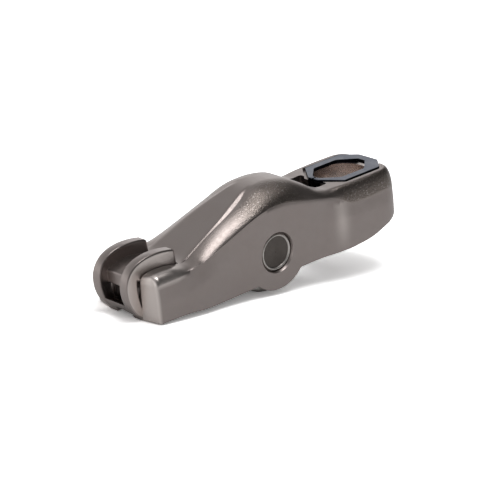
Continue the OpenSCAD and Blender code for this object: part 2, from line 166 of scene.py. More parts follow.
def paint(piece: Piece, name: str, values: np.ndarray) -> None:
    """Stores one number for each vertex, which a finish reads by its name."""
    layer = piece.data.attributes.new(name, "FLOAT", "POINT")
    layer.data.foreach_set("value", values.astype(np.float32))


def smooth(piece: Piece, angle: float = 32.0) -> None:
    """Shades a piece smoothly, with flat faces kept flat.

    Args:
        piece: Piece to shade.
        angle: Angle in degrees above which an edge stays sharp.
    """
    flatness = 80
    piece.data.shade_smooth()
    piece.data.set_sharp_from_angle(angle=math.radians(angle))
    flatten = piece.modifiers.new("flat_faces", "WEIGHTED_NORMAL")
    flatten.keep_sharp = True
    flatten.weight = flatness


def ease(value: np.ndarray, low: np.ndarray | float, high: np.ndarray | float) -> np.ndarray:
    """Rises smoothly from 0 where the value is low to 1 where it is high."""
    share = np.clip((value - low) / (high - low), 0, 1)
    return share**2 * (3 - 2 * share)


def quarter(steps: int) -> np.ndarray:
    """Angles over a quarter turn in radians, with both ends."""
    return np.linspace(0, math.pi / 2, steps + 1)


def mirror(points: Sequence[Point]) -> list[Point]:
    """The same points backwards, on the other side of the first axis."""
    return [(x, -y) for x, y in points[::-1]]


def arc(centre: Point, radius: float, start: float, end: float, steps: int) -> list[Point]:
    """Points on an arc, with its angles in degrees."""
    angles = [math.radians(start + (end - start) * k / steps) for k in range(steps + 1)]
    return [(centre[0] + radius * math.cos(a), centre[1] + radius * math.sin(a)) for a in angles]


def bent(start: Point, heading: float, bends: Sequence[Point]) -> list[Point]:
    """Points along a chain of arcs that run smoothly into each other.

    Args:
        start: Where the chain begins.
        heading: Its first direction in degrees.
        bends: Radius and turn in degrees of each arc; a positive turn goes left.

    Returns:
        The points, at most one and a half degrees apart.
    """
    coarsest, fewest = 1.5, 4
    x, y = start
    points = [(x, y)]
    for radius, turn in bends:
        count = max(fewest, math.ceil(abs(turn) / coarsest))
        step = math.radians(abs(turn) / count)
        for _ in range(count):
            middle = math.radians(heading) + math.copysign(step / 2, turn)
            x += 2 * radius * math.sin(step / 2) * math.cos(middle)
            y += 2 * radius * math.sin(step / 2) * math.sin(middle)
            heading += turn / count
            points.append((x, y))
    return points


def inset_outline(outline: np.ndarray, distance: float) -> np.ndarray:
    """Moves a closed outline inwards.

    Args:
        outline: Array of n points by 2, in either direction round.
        distance: How far each edge moves.

    Returns:
        The moved outline, point for point.
    """
    sharpest = 0.5
    before = outline - np.roll(outline, 1, axis=0)
    after = np.roll(outline, -1, axis=0) - outline
    x, y = outline[:, 0], outline[:, 1]
    turn = np.sign(np.sum(x * np.roll(y, -1) - y * np.roll(x, -1)))
    inwards = []
    for edge in (before, after):
        edge = edge / np.linalg.norm(edge, axis=1, keepdims=True)
        inwards.append(np.stack([-edge[:, 1], edge[:, 0]], axis=1) * turn)
    middle = inwards[0] + inwards[1]
    middle /= np.linalg.norm(middle, axis=1, keepdims=True)
    stretch = np.clip(np.sum(middle * inwards[1], axis=1), sharpest, 1.0)[:, None]
    return outline + middle * distance / stretch


def round_corners(corners: Sequence[Point], radii: Sequence[float], steps: int = 6) -> np.ndarray:
    """Rounds the corners of a closed outline with arcs.

    Args:
        corners: Corner points.
        radii: Radius at each corner, or 0 for a sharp one.
        steps: Number of edges in each arc.

    Returns:
        Array of n points by 2.
    """
    most_of_edge = 0.49
    found: list[np.ndarray] = []
    for i, corner in enumerate(corners):
        here = np.array(corner, float)
        to_last = np.array(corners[i - 1], float) - here
        to_next = np.array(corners[(i + 1) % len(corners)], float) - here
        room = most_of_edge * min(np.linalg.norm(to_last), np.linalg.norm(to_next))
        to_last /= np.linalg.norm(to_last)
        to_next /= np.linalg.norm(to_next)
        half = math.acos(float(np.clip(to_last @ to_next, -1, 1))) / 2
        reach = min(radii[i] / math.tan(half), room) if radii[i] else 0
        if reach < NO_LENGTH:
            found.append(here)
            continue
        middle = to_last + to_next
        centre = here + middle / np.linalg.norm(middle) * reach * math.tan(half) / math.sin(half)
        start, end = here + to_last * reach - centre, here + to_next * reach - centre
        sweep = math.atan2(start[0] * end[1] - start[1] * end[0], start @ end)
        for k in range(steps + 1):
            a = sweep * k / steps
            turn = np.array([[math.cos(a), -math.sin(a)], [math.sin(a), math.cos(a)]])
            found.append(centre + turn @ start)
    return np.array(found)


def grid_faces(rows: int, columns: int) -> Faces:
    """Quads between rings of points.

    Args:
        rows: Number of rings.
        columns: Number of points in a ring.

    Returns:
        The quads as point indices.
    """
    faces = []
    for first in range(0, (rows - 1) * columns, columns):
        for c in range(columns):
            after = (c + 1) % columns
            faces.append((first + c, first + after, first + columns + after, first + columns + c))
    return faces


def stacked(name: str, outline: np.ndarray, levels: Sequence[Point], across: Axis) -> Piece:
    """Builds a closed form from copies of an outline.

    Args:
        name: Name of the piece.
        outline: Closed outline of n points by 2, in the two axes that it lies in.
        levels: For each copy its place across the outline and how far it is drawn in.
        across: Axis that the copies follow each other along.

    Returns:
        The new closed piece.
    """
    rings = []
    for place, drawn_in in levels:
        flat = inset_outline(outline, drawn_in) if drawn_in > NO_LENGTH else outline
        rings.append(np.insert(flat, across.value, place, axis=1))
    count, last = len(outline), (len(rings) - 1) * len(outline)
    ends = [tuple(range(count)), tuple(range(last, last + count))]
    return make_object(name, np.concatenate(rings), grid_faces(len(rings), count) + ends)


def both_faces(levels: list[Point], low: float, high: float) -> list[Point]:
    """Levels of a form's lower face, followed by the same for its upper face."""
    return levels + [(low + high - place, drawn_in) for place, drawn_in in levels[::-1]]


def plate(
    name: str, outline: np.ndarray, low: float, high: float, across: Axis, edge: float = 0.0
) -> Piece:
    """Builds a plate from an outline, with round edges on both faces.

    Args:
        name: Name of the piece.
        outline: Closed outline of n points by 2, in the two axes that it lies in.
        low: Where the plate starts across its outline.
        high: Where it ends.
        across: Axis of its thickness.
        edge: Radius of its edges, or 0 for sharp ones.

    Returns:
        The new closed piece.
    """
    edge_steps = 3
    levels = [(low, 0.0)]
    if edge:
        turns = quarter(edge_steps)[::-1]
        levels = [(low + edge * (1 - math.sin(a)), edge * (1 - math.cos(a))) for a in turns]
    return stacked(name, outline, both_faces(levels, low, high), across)


def block(name: str, low: Place, high: Place) -> Piece:
    """Builds a plain box between two corners, used only for cutting and for the clip's tabs.

    Args:
        name: Name of the piece.
        low: Its lowest corner.
        high: Its highest corner.

    Returns:
        The new closed piece.
    """
    x0, y0, z0 = low
    x1, y1, z1 = high
    outline = np.array([[x0, y0], [x1, y0], [x1, y1], [x0, y1]], float)
    return plate(name, outline, z0, z1, Axis.Z)


def turned(
    name: str, profile: Sequence[Point], around: Axis, centre: Place = (0, 0, 0), segments: int = 128
) -> Piece:
    """Turns a profile about an axis.

    Args:
        name: Name of the piece.
        profile: Points as radius and place along the axis. A profile that doesn't start and end on the axis
            is closed onto itself.
        around: The axis.
        centre: A point on the axis.
        segments: Number of steps round.

    Returns:
        The new closed piece.
    """
    rows = list(profile)
    if max(rows[0][0], rows[-1][0]) > NO_LENGTH:
        rows.append(rows[0])
    angles = np.arange(segments) * 2 * math.pi / segments
    circle = np.stack([np.cos(angles), np.sin(angles)], axis=1)
    rings = [np.insert(radius * circle, around.value, along, axis=1) for radius, along in rows]
    return make_object(name, np.concatenate(rings) + np.array(centre), grid_faces(len(rows), segments))


def boolean(target: Piece, tool: Piece, kind: Cut) -> None:
    """Adds a tool to a piece or cuts it out, and removes the tool.

    Args:
        target: Piece that is changed.
        tool: Closed tool, which is used up.
        kind: Whether it is added or taken away.
    """
    step = target.modifiers.new("cut", "BOOLEAN")
    step.operation = kind.value
    step.solver = "EXACT"
    step.object = tool
    scene_graph = bpy.context.evaluated_depsgraph_get()
    done = bpy.data.meshes.new_from_object(target.evaluated_get(scene_graph))
    old = target.data
    target.modifiers.clear()
    target.data = done
    bpy.data.meshes.remove(old)
    bpy.data.objects.remove(tool)


@dataclass(frozen=True)
class Station:
    """One cross-section of the lever, in millimetres from the axle.

    Widths are half widths at the rim, at the top of the wall and of the web's flat. Heights are those
    of the web, the foot of the slanted band, the rim and the wall's crease. Sweep and fold are the angles
    in degrees at which the band's bend ends and starts.
    """

    x: float
    rim_w: float
    band_w: float
    flat_w: float
    web_z: float
    foot_z: float
    rim_z: float
    crease_z: float
    sweep: float
    fold: float


@dataclass
class LeverForm:
    """Drawn form of the sheet-steel lever: driving sizes and the curves between its stations."""

    valve_reach: float = 31.2
    pivot_reach: float = -AXLE.x / MM
    tail_reach: float = 9.2
    valve_w: float = 9.1
    waist_w: float = 7.4
    pivot_w: float = 8.4
    sheet: float = 2.4
    hump: float = 12.6
    deck: float = 7.9
    shoulder: float = 5.3
    saddle: float = 4.7
    rim: float = 5.0
    valve_rim: float = 3.8
    tail_rim: float = 1.7
    lobe: float = 7.4
    front_sweep: float = 0.9
    front_flat: float = 0.5
    front_corner: float = 0.8
    front_inset: float = 0.6
    front_inset_l: float = 4.0
    front_crease: float = 26.0
    rear_corner: float = 5.4
    rear_inset: float = 2.6
    bow: float = 0.05
    edge: float = 0.35
    inner_bend: float = 1.6
    lean_delay: float = 0.12
    wall_levels: Point = (0.35, 0.7)
    lean_levels: tuple[float, ...] = (0.0, 0.12, 0.3, 0.5, 0.7, 0.85)
    inner_levels: Point = (0.33, 0.66)
    ledge: float = 0.13
    ledge_w: float = 0.16
    ledge_gain: float = 0.4
    ledge_w_gain: float = 0.8
    ledge_starts: Point = (-22.0, -20.5)
    ledge_widens: Point = (-15.0, -6.0)
    ledge_ends: Point = (-5.0, 0.0)
    bow_steps: int = 4
    sweep_steps: int = 6
    corner_steps: int = 12
    side_steps: int = 170
    tail_steps: int = 24
    edge_steps: int = 3
    band_steps: int = 14
    ledge_steps: int = 5
    web_steps: int = 6
    bend_steps: int = 7
    under_steps: int = 3
    front: float = field(init=False)
    rear: float = field(init=False)
    stations: list[Station] = field(init=False)

    def __post_init__(self) -> None:
        """Works out both ends and the stations from the driving sizes."""
        self.front = -self.valve_reach
        self.rear = self.pivot_reach + self.tail_reach
        front, pivot, rear = self.front, self.pivot_reach, self.rear
        valve, waist, flare = self.valve_w, self.waist_w, self.pivot_w
        top, deck, saddle, shoulder = self.hump, self.deck, self.saddle, self.shoulder
        rim, nose, tail = -self.rim, -self.valve_rim, -self.tail_rim
        # x, rim_w, band_w, flat_w, web_z, foot_z, rim_z, crease_z, sweep, fold
        rows = [
            (front, valve - 0.1, valve - 0.3, 7.0, shoulder - 0.7, shoulder - 1.7, nose, 0, 90, 0),
            (front + 0.9, valve, valve - 0.2, 6.9, shoulder - 0.3, shoulder - 1.8, nose, 0, 90, 0),
            (front + 2.4, valve, valve - 0.2, 6.8, shoulder, shoulder - 2, nose, -0.2, 90, 0),
            (-25.4, valve - 0.05, valve - 0.35, 6.6, shoulder - 0.1, shoulder - 2, nose - 0.1, -0.5, 88, 0),
            (-22.2, valve - 0.25, valve - 0.7, 5.7, saddle - 0.05, saddle - 0.9, nose - 0.4, -0.8, 70, 8),
            (-20.2, valve - 0.4, valve - 0.88, 5.2, saddle + 0.15, saddle - 0.45, rim + 0.45, -0.45, 58, 18),
            (-18, waist + 1.1, waist + 0.65, 4.87, saddle + 1.05, saddle - 0.3, rim + 0.2, 0, 57, 22),
            (-14, waist + 0.5, waist + 0.3, 4.38, saddle + 2.75, saddle + 0.75, rim - 0.15, 1.2, 57, 22),
            (-10, waist + 0.15, waist + 0.1, 3.92, top - 3.45, top - 5.9, rim - 0.3, 2.2, 58, 22),
            (-6, waist, waist, 3.15, top - 1.8, top - 4.6, rim - 0.3, 3, 60, 22),
            (-2, waist, waist, 2.1, top - 0.4, top - 3.6, rim - 0.1, 3.4, 70, 20),
            (2.6, waist, waist, 1.2, top - 0.1, top - 3.7, rim + 0.1, 3.5, 86, 16),
            (7, waist, waist, 1.6, top - 0.9, top - 4.6, rim + 0.15, 3, 90, 14),
            (10, waist + 0.1, waist, 2.7, deck + 2.2, top - 5.2, rim + 0.2, 2.5, 90, 12),
            (12.2, flare - 0.75, waist + 0.1, 3.8, deck + 0.65, deck - 0.9, rim + 0.2, 2, 90, 10),
            (14.2, flare - 0.4, waist + 0.25, 5.2, deck, deck - 1.4, rim + 0.2, 1.7, 90, 8),
            (16.6, flare - 0.2, flare - 0.55, 5.8, deck, deck - 2.6, rim + 0.2, 1.4, 90, 8),
            (19, flare - 0.1, flare - 0.3, 6.1, deck, deck - 3.8, rim + 0.25, 1.2, 90, 6),
            (pivot, flare, flare - 0.2, 6.3, deck, deck - 4, rim + 0.8, 1, 90, 4),
            (pivot + 4.2, flare - 0.2, flare - 0.4, 6.2, deck, deck - 4, tail - 1.3, 0.8, 90, 4),
            (rear, flare - 0.6, flare - 0.8, 5.8, deck, deck - 4.6, tail, 0.8, 90, 4),
        ]
        self.stations = [Station(*row) for row in rows]

    def curve(self, name: str, x: np.ndarray) -> np.ndarray:
        """Smooth curve of one station size along the lever.

        Args:
            name: Name of the size in Station.
            x: Places along the lever.

        Returns:
            The size at each place.
        """
        xs = np.array([s.x for s in self.stations])
        ys = np.array([getattr(s, name) for s in self.stations])
        before = np.maximum(np.arange(len(xs)) - 1, 0)
        after = np.minimum(np.arange(len(xs)) + 1, len(xs) - 1)
        slopes = (ys[after] - ys[before]) / (xs[after] - xs[before])
        x = np.clip(x, xs[0], xs[-1])
        i = np.clip(np.searchsorted(xs, x, side="right") - 1, 0, len(xs) - 2)
        length = xs[i + 1] - xs[i]
        t = (x - xs[i]) / length
        t2, t3 = t * t, t * t * t
        start = (2 * t3 - 3 * t2 + 1) * ys[i] + (t3 - 2 * t2 + t) * length * slopes[i]
        return start + (3 * t2 - 2 * t3) * ys[i + 1] + (t3 - t2) * length * slopes[i + 1]

    def rim_height(self, x: np.ndarray) -> np.ndarray:
        """Height of the rim, with the round lobe under the axle."""
        lobe = -np.sqrt(np.maximum(self.lobe**2 - x**2, 0))
        return np.minimum(self.curve("rim_z", x), lobe)

    def underside(self, x: np.ndarray) -> np.ndarray:
        """Height of the web's underside, one sheet thickness in from the web.

        Args:
            x: Places along the lever.

        Returns:
            The height at each place.
        """
        near = 0.2
        slope = (self.curve("web_z", x + near) - self.curve("web_z", x - near)) / (2 * near)
        return self.curve("web_z", x) - self.sheet * np.sqrt(1 + slope**2)

    def outline(self) -> np.ndarray:
        """Plan outline of the near half.

        Returns:
            Array of n points by 2: the place along the lever and the share of the half width there.
        """
        corner, sweep, bow = self.front_corner, self.front_sweep, self.bow
        x0 = self.front + sweep + corner
        x1 = self.rear - self.rear_corner
        flat, edge = self.front_flat, 1 - corner / self.valve_w
        shares = [k / self.bow_steps for k in range(self.bow_steps + 1)]
        slope = [k / self.sweep_steps for k in range(1, self.sweep_steps)]
        sides = [k / self.side_steps for k in range(1, self.side_steps + 1)]
        turns, tail_turns = quarter(self.corner_steps), quarter(self.tail_steps)[1:]
        points = [(self.front - bow * (1 - s**2), flat * s) for s in shares]
        points += [(self.front + sweep * s, flat + (edge - flat) * s) for s in slope]
        points += [
            (x0 - corner * math.cos(a), 1 - corner * (1 - math.sin(a)) / self.valve_w) for a in turns
        ]
        points += [(x0 + (x1 - x0) * s, 1.0) for s in sides]
        points += [
            (x1 + self.rear_corner * math.sin(a), 1 - self.rear_corner * (1 - math.cos(a)) / self.pivot_w)
            for a in tail_turns
        ]
        last = points[-1][1]
        points += [(self.rear + bow * (1 - (1 - s) ** 2), last * (1 - s)) for s in shares[1:]]
        return np.array(points)

    def flat_x(self, x: np.ndarray) -> np.ndarray:
        """Place of a plan point once it has moved up the band onto the web.

        Args:
            x: Places along the lever at the wall.

        Returns:
            The places on the web.
        """
        front = np.maximum(0, 1 - (x - self.front) / self.front_inset_l) ** 2
        rear = np.maximum(0, 1 - (self.rear - x) / self.rear_corner) ** 2
        return x + self.front_inset * front - self.rear_inset * rear

    def inner_x(self, x: np.ndarray) -> np.ndarray:
        """Place of a plan point on the sheet's inside."""
        length = self.rear - self.front
        return self.front + self.sheet + (x - self.front) * (length - 2 * self.sheet) / length

    def front_share(self, x: np.ndarray) -> np.ndarray:
        """How far a plan point belongs to the front face: 1 there and 0 behind the corner."""
        behind = self.front + self.front_sweep + self.front_corner
        return np.clip((behind - x) / self.front_corner, 0, 1)

    def ledge_size(self, x: np.ndarray) -> tuple[np.ndarray, np.ndarray]:
        """Size of the small ledge along the web's edge, which widens and fades towards the hump.

        Args:
            x: Places along the lever.

        Returns:
            The ledge's height and width at each place.
        """
        wider = ease(x, *self.ledge_widens)
        shown = ease(x, *self.ledge_starts) * (1 - ease(x, *self.ledge_ends))
        height = (self.ledge + self.ledge_gain * wider) * shown
        return height, self.ledge_w + self.ledge_w_gain * wider

    def leaned(self, share: float) -> float:
        """How far the wall has leaned in at a share of its height over the crease."""
        slow = share < 2 * self.lean_delay
        return share**2 * (1.6 - 0.6 * share) if slow else (share - self.lean_delay) / (1 - self.lean_delay)

    def rim_rings(self, plan: np.ndarray, inside: bool) -> list[Ring]:
        """Rings over the rounded edge of the rim.

        Args:
            plan: The near outline.
            inside: Whether it is the inner edge.

        Returns:
            Places, half widths and heights of each ring.
        """
        rings = []
        for a in quarter(self.edge_steps):
            depth = self.edge * (1 - math.sin(a))
            depth = self.sheet - depth if inside else depth
            x = plan[:, 0] + (self.inner_x(plan[:, 0]) - plan[:, 0]) * depth / self.sheet
            w = plan[:, 1] * (self.curve("rim_w", x) - depth)
            rings.append((x, w, self.rim_height(plan[:, 0]) + self.edge * (1 - math.cos(a))))
        return rings

    def wall_rings(self, plan: np.ndarray) -> list[Ring]:
        """Rings of the outside from the rim up the wall to the band's foot.

        Args:
            plan: The near outline.

        Returns:
            Places, half widths and heights of each ring.
        """
        x, side = plan[:, 0], plan[:, 1]
        rim, foot = self.rim_height(x) + self.edge, self.curve("foot_z", x)
        crease = self.curve("crease_z", x)
        wide, narrow = self.curve("rim_w", x), self.curve("band_w", x)
        rings = [(x, side * wide, rim + (crease - rim) * share) for share in self.wall_levels]
        for share in self.lean_levels:
            w = side * (wide + (narrow - wide) * self.leaned(share))
            rings.append((x, w, crease + (foot - crease) * share))
        return rings

    def band_rings(self, plan: np.ndarray) -> list[Ring]:
        """Rings of the outside over the slanted band and its ledge to the web's middle line.

        Args:
            plan: The near outline.

        Returns:
            Places, half widths and heights of each ring.
        """
        x1, side = plan[:, 0], plan[:, 1]
        x2 = self.flat_x(x1)
        foot, narrow = self.curve("foot_z", x1), self.curve("band_w", x1)
        share = self.front_share(x1)
        start = np.radians(self.front_crease * share + self.curve("fold", x1) * (1 - share))
        end = np.radians(self.curve("sweep", x1))
        step, reach = self.ledge_size(x2)
        flat, web = self.curve("flat_w", x2) + reach / 2, self.curve("web_z", x2)
        rings = []
        for k in range(self.band_steps + 1):
            a = start + (end - start) * k / self.band_steps
            along = (np.cos(start) - np.cos(a)) / (np.cos(start) - np.cos(end))
            up = (np.sin(a) - np.sin(start)) / (np.sin(end) - np.sin(start))
            w = side * (narrow + (flat - narrow) * along)
            rings.append((x1 + (x2 - x1) * along, w, foot + (web - step - foot) * up))
        for k in range(1, self.ledge_steps + 1):
            share = k / self.ledge_steps
            rings.append((x2, side * (flat - reach * share), web - step * (1 - ease(share, 0, 1))))
        for k in range(1, self.web_steps + 1):
            rings.append((x2, side * (flat - reach) * (1 - k / self.web_steps), web))
        return rings

    def inner_rings(self, plan: np.ndarray) -> list[Ring]:
        """Rings of the inside, from above the rim to the underside's middle line.

        Args:
            plan: The near outline.

        Returns:
            Places, half widths and heights of each ring.
        """
        x, side, bend = self.inner_x(plan[:, 0]), plan[:, 1], self.inner_bend
        top = self.underside(x)
        wide, narrow = self.curve("rim_w", x) - self.sheet, self.curve("band_w", x) - self.sheet
        rim = self.rim_height(plan[:, 0]) + self.edge
        rings = []
        for share in self.inner_levels:
            rings.append((x, side * (wide + (narrow - wide) * share), rim + (top - bend - rim) * share))
        for a in quarter(self.bend_steps):
            rings.append((x, side * (narrow - bend * (1 - math.cos(a))), top - bend * (1 - math.sin(a))))
        for k in range(1, self.under_steps + 1):
            rings.append((x, side * (narrow - bend) * (1 - k / self.under_steps), top))
        return rings

    @staticmethod
    def whole(ring: Ring) -> np.ndarray:
        """Full ring from the near half: down the near side and back along the far side.

        Args:
            ring: Places, half widths and heights of the near half.

        Returns:
            Array of n points by 3.
        """
        x, w, z = ring
        near = np.stack([x, -w, z], axis=1)
        far = np.stack([x, w, z], axis=1)[-2:0:-1]
        return np.concatenate([near, far])

    def sheet_piece(self) -> Piece:
        """Builds the drawn trough as one closed skin.

        Returns:
            The trough, before its holes and cuts.
        """
        plan = self.outline()
        inside = self.rim_rings(plan, inside=True) + self.inner_rings(plan)
        outside = self.rim_rings(plan, inside=False) + self.wall_rings(plan) + self.band_rings(plan)
        rings = [self.whole(ring) for ring in inside[::-1] + outside]
        return make_object("lever_sheet", np.concatenate(rings), grid_faces(len(rings), len(rings[0])))


@dataclass
class GuideEars:
    """The two crescent guide ears with the pallet, bridge and cuts of the valve end."""

    form: LeverForm
    gap: float = 5.7
    thick: float = 2.15
    nose_z: float = 2.85
    lead: float = 2.9
    length: float = 11.8
    top: float = 5.3
    over_bends: tuple[Point, ...] = ((4.85, -62), (7.0, -14), (11, -13), (18, -22))
    under_bends: tuple[Point, ...] = ((8.2, 35), (5.0, 34))
    end_r: float = 0.7
    root: float = 2.0
    foot: float = 2.2
    back_from: float = 174.0
    back_to: float = 200.0
    slit: float = 0.15
    slit_top: float = 4.05
    groove: float = 0.25
    groove_depth: float = 1.0
    strap: float = 2.65
    plate_r: float = 12.0
    pallet_r: float = 10.5
    pallet_rise: float = 0.4
    pallet_back: float = 3.8
    pallet_lead: float = 0.9
    pallet_foot: float = 2.1
    crown_from: float = 125.0
    crown_to: float = 71.5
    lip_r: float = 0.45
    edge: float = 0.5
    edge_depth: float = 0.26
    edge_steps: int = 7
    seam_z: float = -1.1
    recess: float = 0.6
    window_z: float = -1.2
    bridge_z: float = -0.4
    arch_r: float = 2.63
    arch_top: float = -1.93
    arch_steps: int = 96
    arch_turn: float = 0.37
    inner_y: float = field(init=False)
    outer_y: float = field(init=False)
    nose_x: float = field(init=False)
    end_x: float = field(init=False)
    top_z: float = field(init=False)
    pallet_z: float = field(init=False)

    def __post_init__(self) -> None:
        """Works out the places that the cuts and forms share."""
        self.inner_y = self.gap / 2
        self.outer_y = self.inner_y + self.thick
        self.nose_x = self.form.front - self.lead
        self.end_x = self.nose_x + self.length
        self.top_z = self.nose_z + self.top
        self.pallet_z = self.form.shoulder + self.pallet_rise

    def outline(self) -> np.ndarray:
        """Side view of an ear: round front, nearly straight top, free end and the hidden root.

        Returns:
            Closed outline of n points by 2, as X and Z.
        """
        front, saddle, root_z = self.form.front, self.form.saddle, self.form.shoulder - self.root
        down = bent((self.nose_x, self.nose_z), -90, self.under_bends)
        up = [p for p in bent((self.nose_x, self.nose_z), 90, self.over_bends) if p[0] < self.end_x]
        top = [p for p in up[1:] if p[0] < self.end_x - 2 * self.end_r]
        end = round_corners([top[-1], up[-1], (self.end_x + 0.2, saddle - 0.6)], [0, self.end_r, 0], 8)
        root = [
            (self.end_x - 2, saddle - 0.9),
            (front + 3.4, root_z),
            (front + 0.8, root_z),
            (front + self.slit, self.slit_top - 0.1),
        ]
        inner = (self.nose_x + self.strap + self.plate_r, self.nose_z)
        back = arc(inner, self.plate_r, self.back_from, self.back_to, 20)
        foot = [(front + self.foot, self.seam_z - 0.2), (front + self.foot, down[-1][1])]
        return np.array(down[::-1] + top + [tuple(p) for p in end[1:]] + root + back + foot)

    def ears(self) -> list[Piece]:
        """Builds both ears, whose soft edges are wider across the face than they are deep.

        Returns:
            The near and the far ear.
        """
        outline = self.outline()
        turns = math.pi / 2 * np.linspace(0, 1, self.edge_steps + 1) ** 1.2
        sides = {"ear_near": (-self.outer_y, -self.inner_y), "ear_far": (self.inner_y, self.outer_y)}
        made = []
        for name, (low, high) in sides.items():
            levels = [
                (low + self.edge_depth * (1 - math.cos(a)), self.edge * (1 - math.sin(a))) for a in turns
            ]
            made.append(stacked(name, outline, both_faces(levels, low, high), Axis.Y))
        return made

    def bridge(self) -> Piece:
        """Builds the strap that ties the ears below the pallet.

        Returns:
            The closed strap.
        """
        down = bent((self.nose_x + 0.12, self.nose_z), -90, self.under_bends)
        back = [
            (self.form.front + 0.85, -self.form.valve_rim + 0.7),
            (self.form.front + 0.3, self.window_z - 1.1),
            (self.form.front - 0.4, self.window_z - 0.3),
        ]
        flat = np.array([p for p in down if p[1] < self.bridge_z] + back)
        return plate("bridge", flat, -self.inner_y - PAST, self.inner_y + PAST, Axis.Y)

    def nose(self) -> Piece:
        """Builds the pallet's body with its rounded nose.

        Returns:
            The closed body, still without its crown.
        """
        x0, x1 = self.form.front - self.pallet_lead, self.end_x - 0.5
        corners = [
            (x0, self.pallet_foot),
            (x0, self.pallet_z + PAST),
            (x1, self.pallet_z + PAST),
            (x1, self.form.saddle - 1.1),
            (self.form.front + 4, self.pallet_foot + 0.9),
            (self.form.front + 2.6, self.pallet_foot),
        ]
        flat = round_corners(corners, [0.35, 0, 0, 0, 0, 0.6])
        return plate("pallet_nose", flat, -self.inner_y - PAST / 2, self.inner_y + PAST / 2, Axis.Y)

    def stem_slot(self) -> Piece:
        """Builds the tool for the slot between the ears, with the pallet's crown as its floor.

        Returns:
            The closed tool.
        """
        front, above = self.form.front - self.pallet_lead, self.top_z + 2 * PAST
        centre = (self.form.front + self.pallet_back, self.pallet_z - self.pallet_r)
        crown = arc(centre, self.pallet_r, self.crown_from, self.crown_to, 60)
        crown = [p for p in crown if p[0] > front + 0.3]
        lip = arc((front + self.lip_r, crown[0][1] - 0.4), self.lip_r, 180, 112, 6)
        tail = [
            (self.end_x - 0.6, self.form.saddle + 0.25),
            (self.end_x + PAST, self.form.saddle + 0.6),
            (self.end_x + PAST, above),
        ]
        lead = [(self.nose_x - PAST, above), (self.nose_x - PAST, lip[0][1])]
        return plate("stem_slot", np.array(lip + crown + tail + lead), -self.inner_y, self.inner_y, Axis.Y)

    def front_cuts(self) -> list[Piece]:
        """Builds tools for the window below the pallet and the recess that the ears stand in.

        Returns:
            The closed tools.
        """
        front = self.form.front
        before, through = front - PAST, front + self.form.sheet + self.form.front_sweep + PAST
        wide = self.outer_y + self.slit
        window = ((before, -self.inner_y, self.window_z), (through, self.inner_y, self.pallet_foot))
        recess = ((before, -wide, self.seam_z), (front + self.recess, wide, self.slit_top))
        return [block("window_cut", *window), block("recess_cut", *recess)]

    def grooves(self) -> list[Piece]:
        """Builds tools for the grooves between ears and shoulder tops.

        Returns:
            The closed tools.
        """
        x0, x1 = self.form.front - PAST, self.end_x + 0.3
        low, high = self.form.shoulder - self.groove_depth, self.form.shoulder + 2 * PAST
        inner, outer = self.outer_y - self.thick / 4, self.outer_y + self.groove
        return [
            block("groove_near", (x0, -outer, low), (x1, -inner, high)),
            block("groove_far", (x0, inner, low), (x1, outer, high)),
        ]

    def arch(self) -> Piece:
        """Builds the tool for the arch in the bottom edge of bridge and front wall.

        Its points are turned a little, so that none lies on the middle line of the skin it cuts.

        Returns:
            The closed tool.
        """
        angles = 2 * math.pi * (np.arange(self.arch_steps) + self.arch_turn) / self.arch_steps
        middle = self.arch_top - self.arch_r
        circle = np.stack([self.arch_r * np.cos(angles), middle + self.arch_r * np.sin(angles)], axis=1)
        x1 = self.form.front + self.form.sheet + self.form.front_sweep
        return plate("arch", circle, self.nose_x - PAST, x1, Axis.X)


@dataclass(frozen=True)
class GrainAndShadeBand:
    """Where stretching roughened the drawn sheet, and where the band is also darkened as painted shade; a
    pair is where it starts and where it is full.
    """

    over_foot: Point = (-0.1, 0.35)
    off_flat: Point = (0.1, 0.4)
    widening: float = 0.45
    widens: Point = (-12.0, -2.0)
    to_wall: Point = (0.85, 1.05)
    faint: float = 0.16
    faint_at: Point = (-22.0, -19.0)
    full_at: Point = (-11.0, -2.0)
    fading: float = 0.8
    fades: Point = (4.0, 9.0)
    pivot_at: Point = (15.0, 18.5)

    def share(self, form: LeverForm, points: np.ndarray) -> np.ndarray:
        """How much grain and painted shade each point carries.

        Args:
            form: The drawn form.
            points: Array of n points by 3, in millimetres from the axle.

        Returns:
            0 on walls and web, 1 in the middle of the band.
        """
        x, y, z = points[:, 0], np.abs(points[:, 1]), points[:, 2]
        foot, web, flat, wall = (form.curve(name, x) for name in ("foot_z", "web_z", "flat_w", "band_w"))
        rise = ease(z, foot + self.over_foot[0], foot + self.over_foot[1])
        wider = self.widening * (wall - flat) * ease(x, *self.widens)
        out = ease(y, flat + self.off_flat[0], flat + self.off_flat[1] + wider)
        outside = ease(y / np.maximum(wall, 1) + (z - foot) / np.maximum(web - foot, 0.5), *self.to_wall)
        valve_side = self.faint * ease(x, *self.faint_at) + (1 - self.faint) * ease(x, *self.full_at)
        valve_side *= 1 - self.fading * ease(x, *self.fades)
        return rise * out * outside * np.clip(valve_side + ease(x, *self.pivot_at), 0, 1)


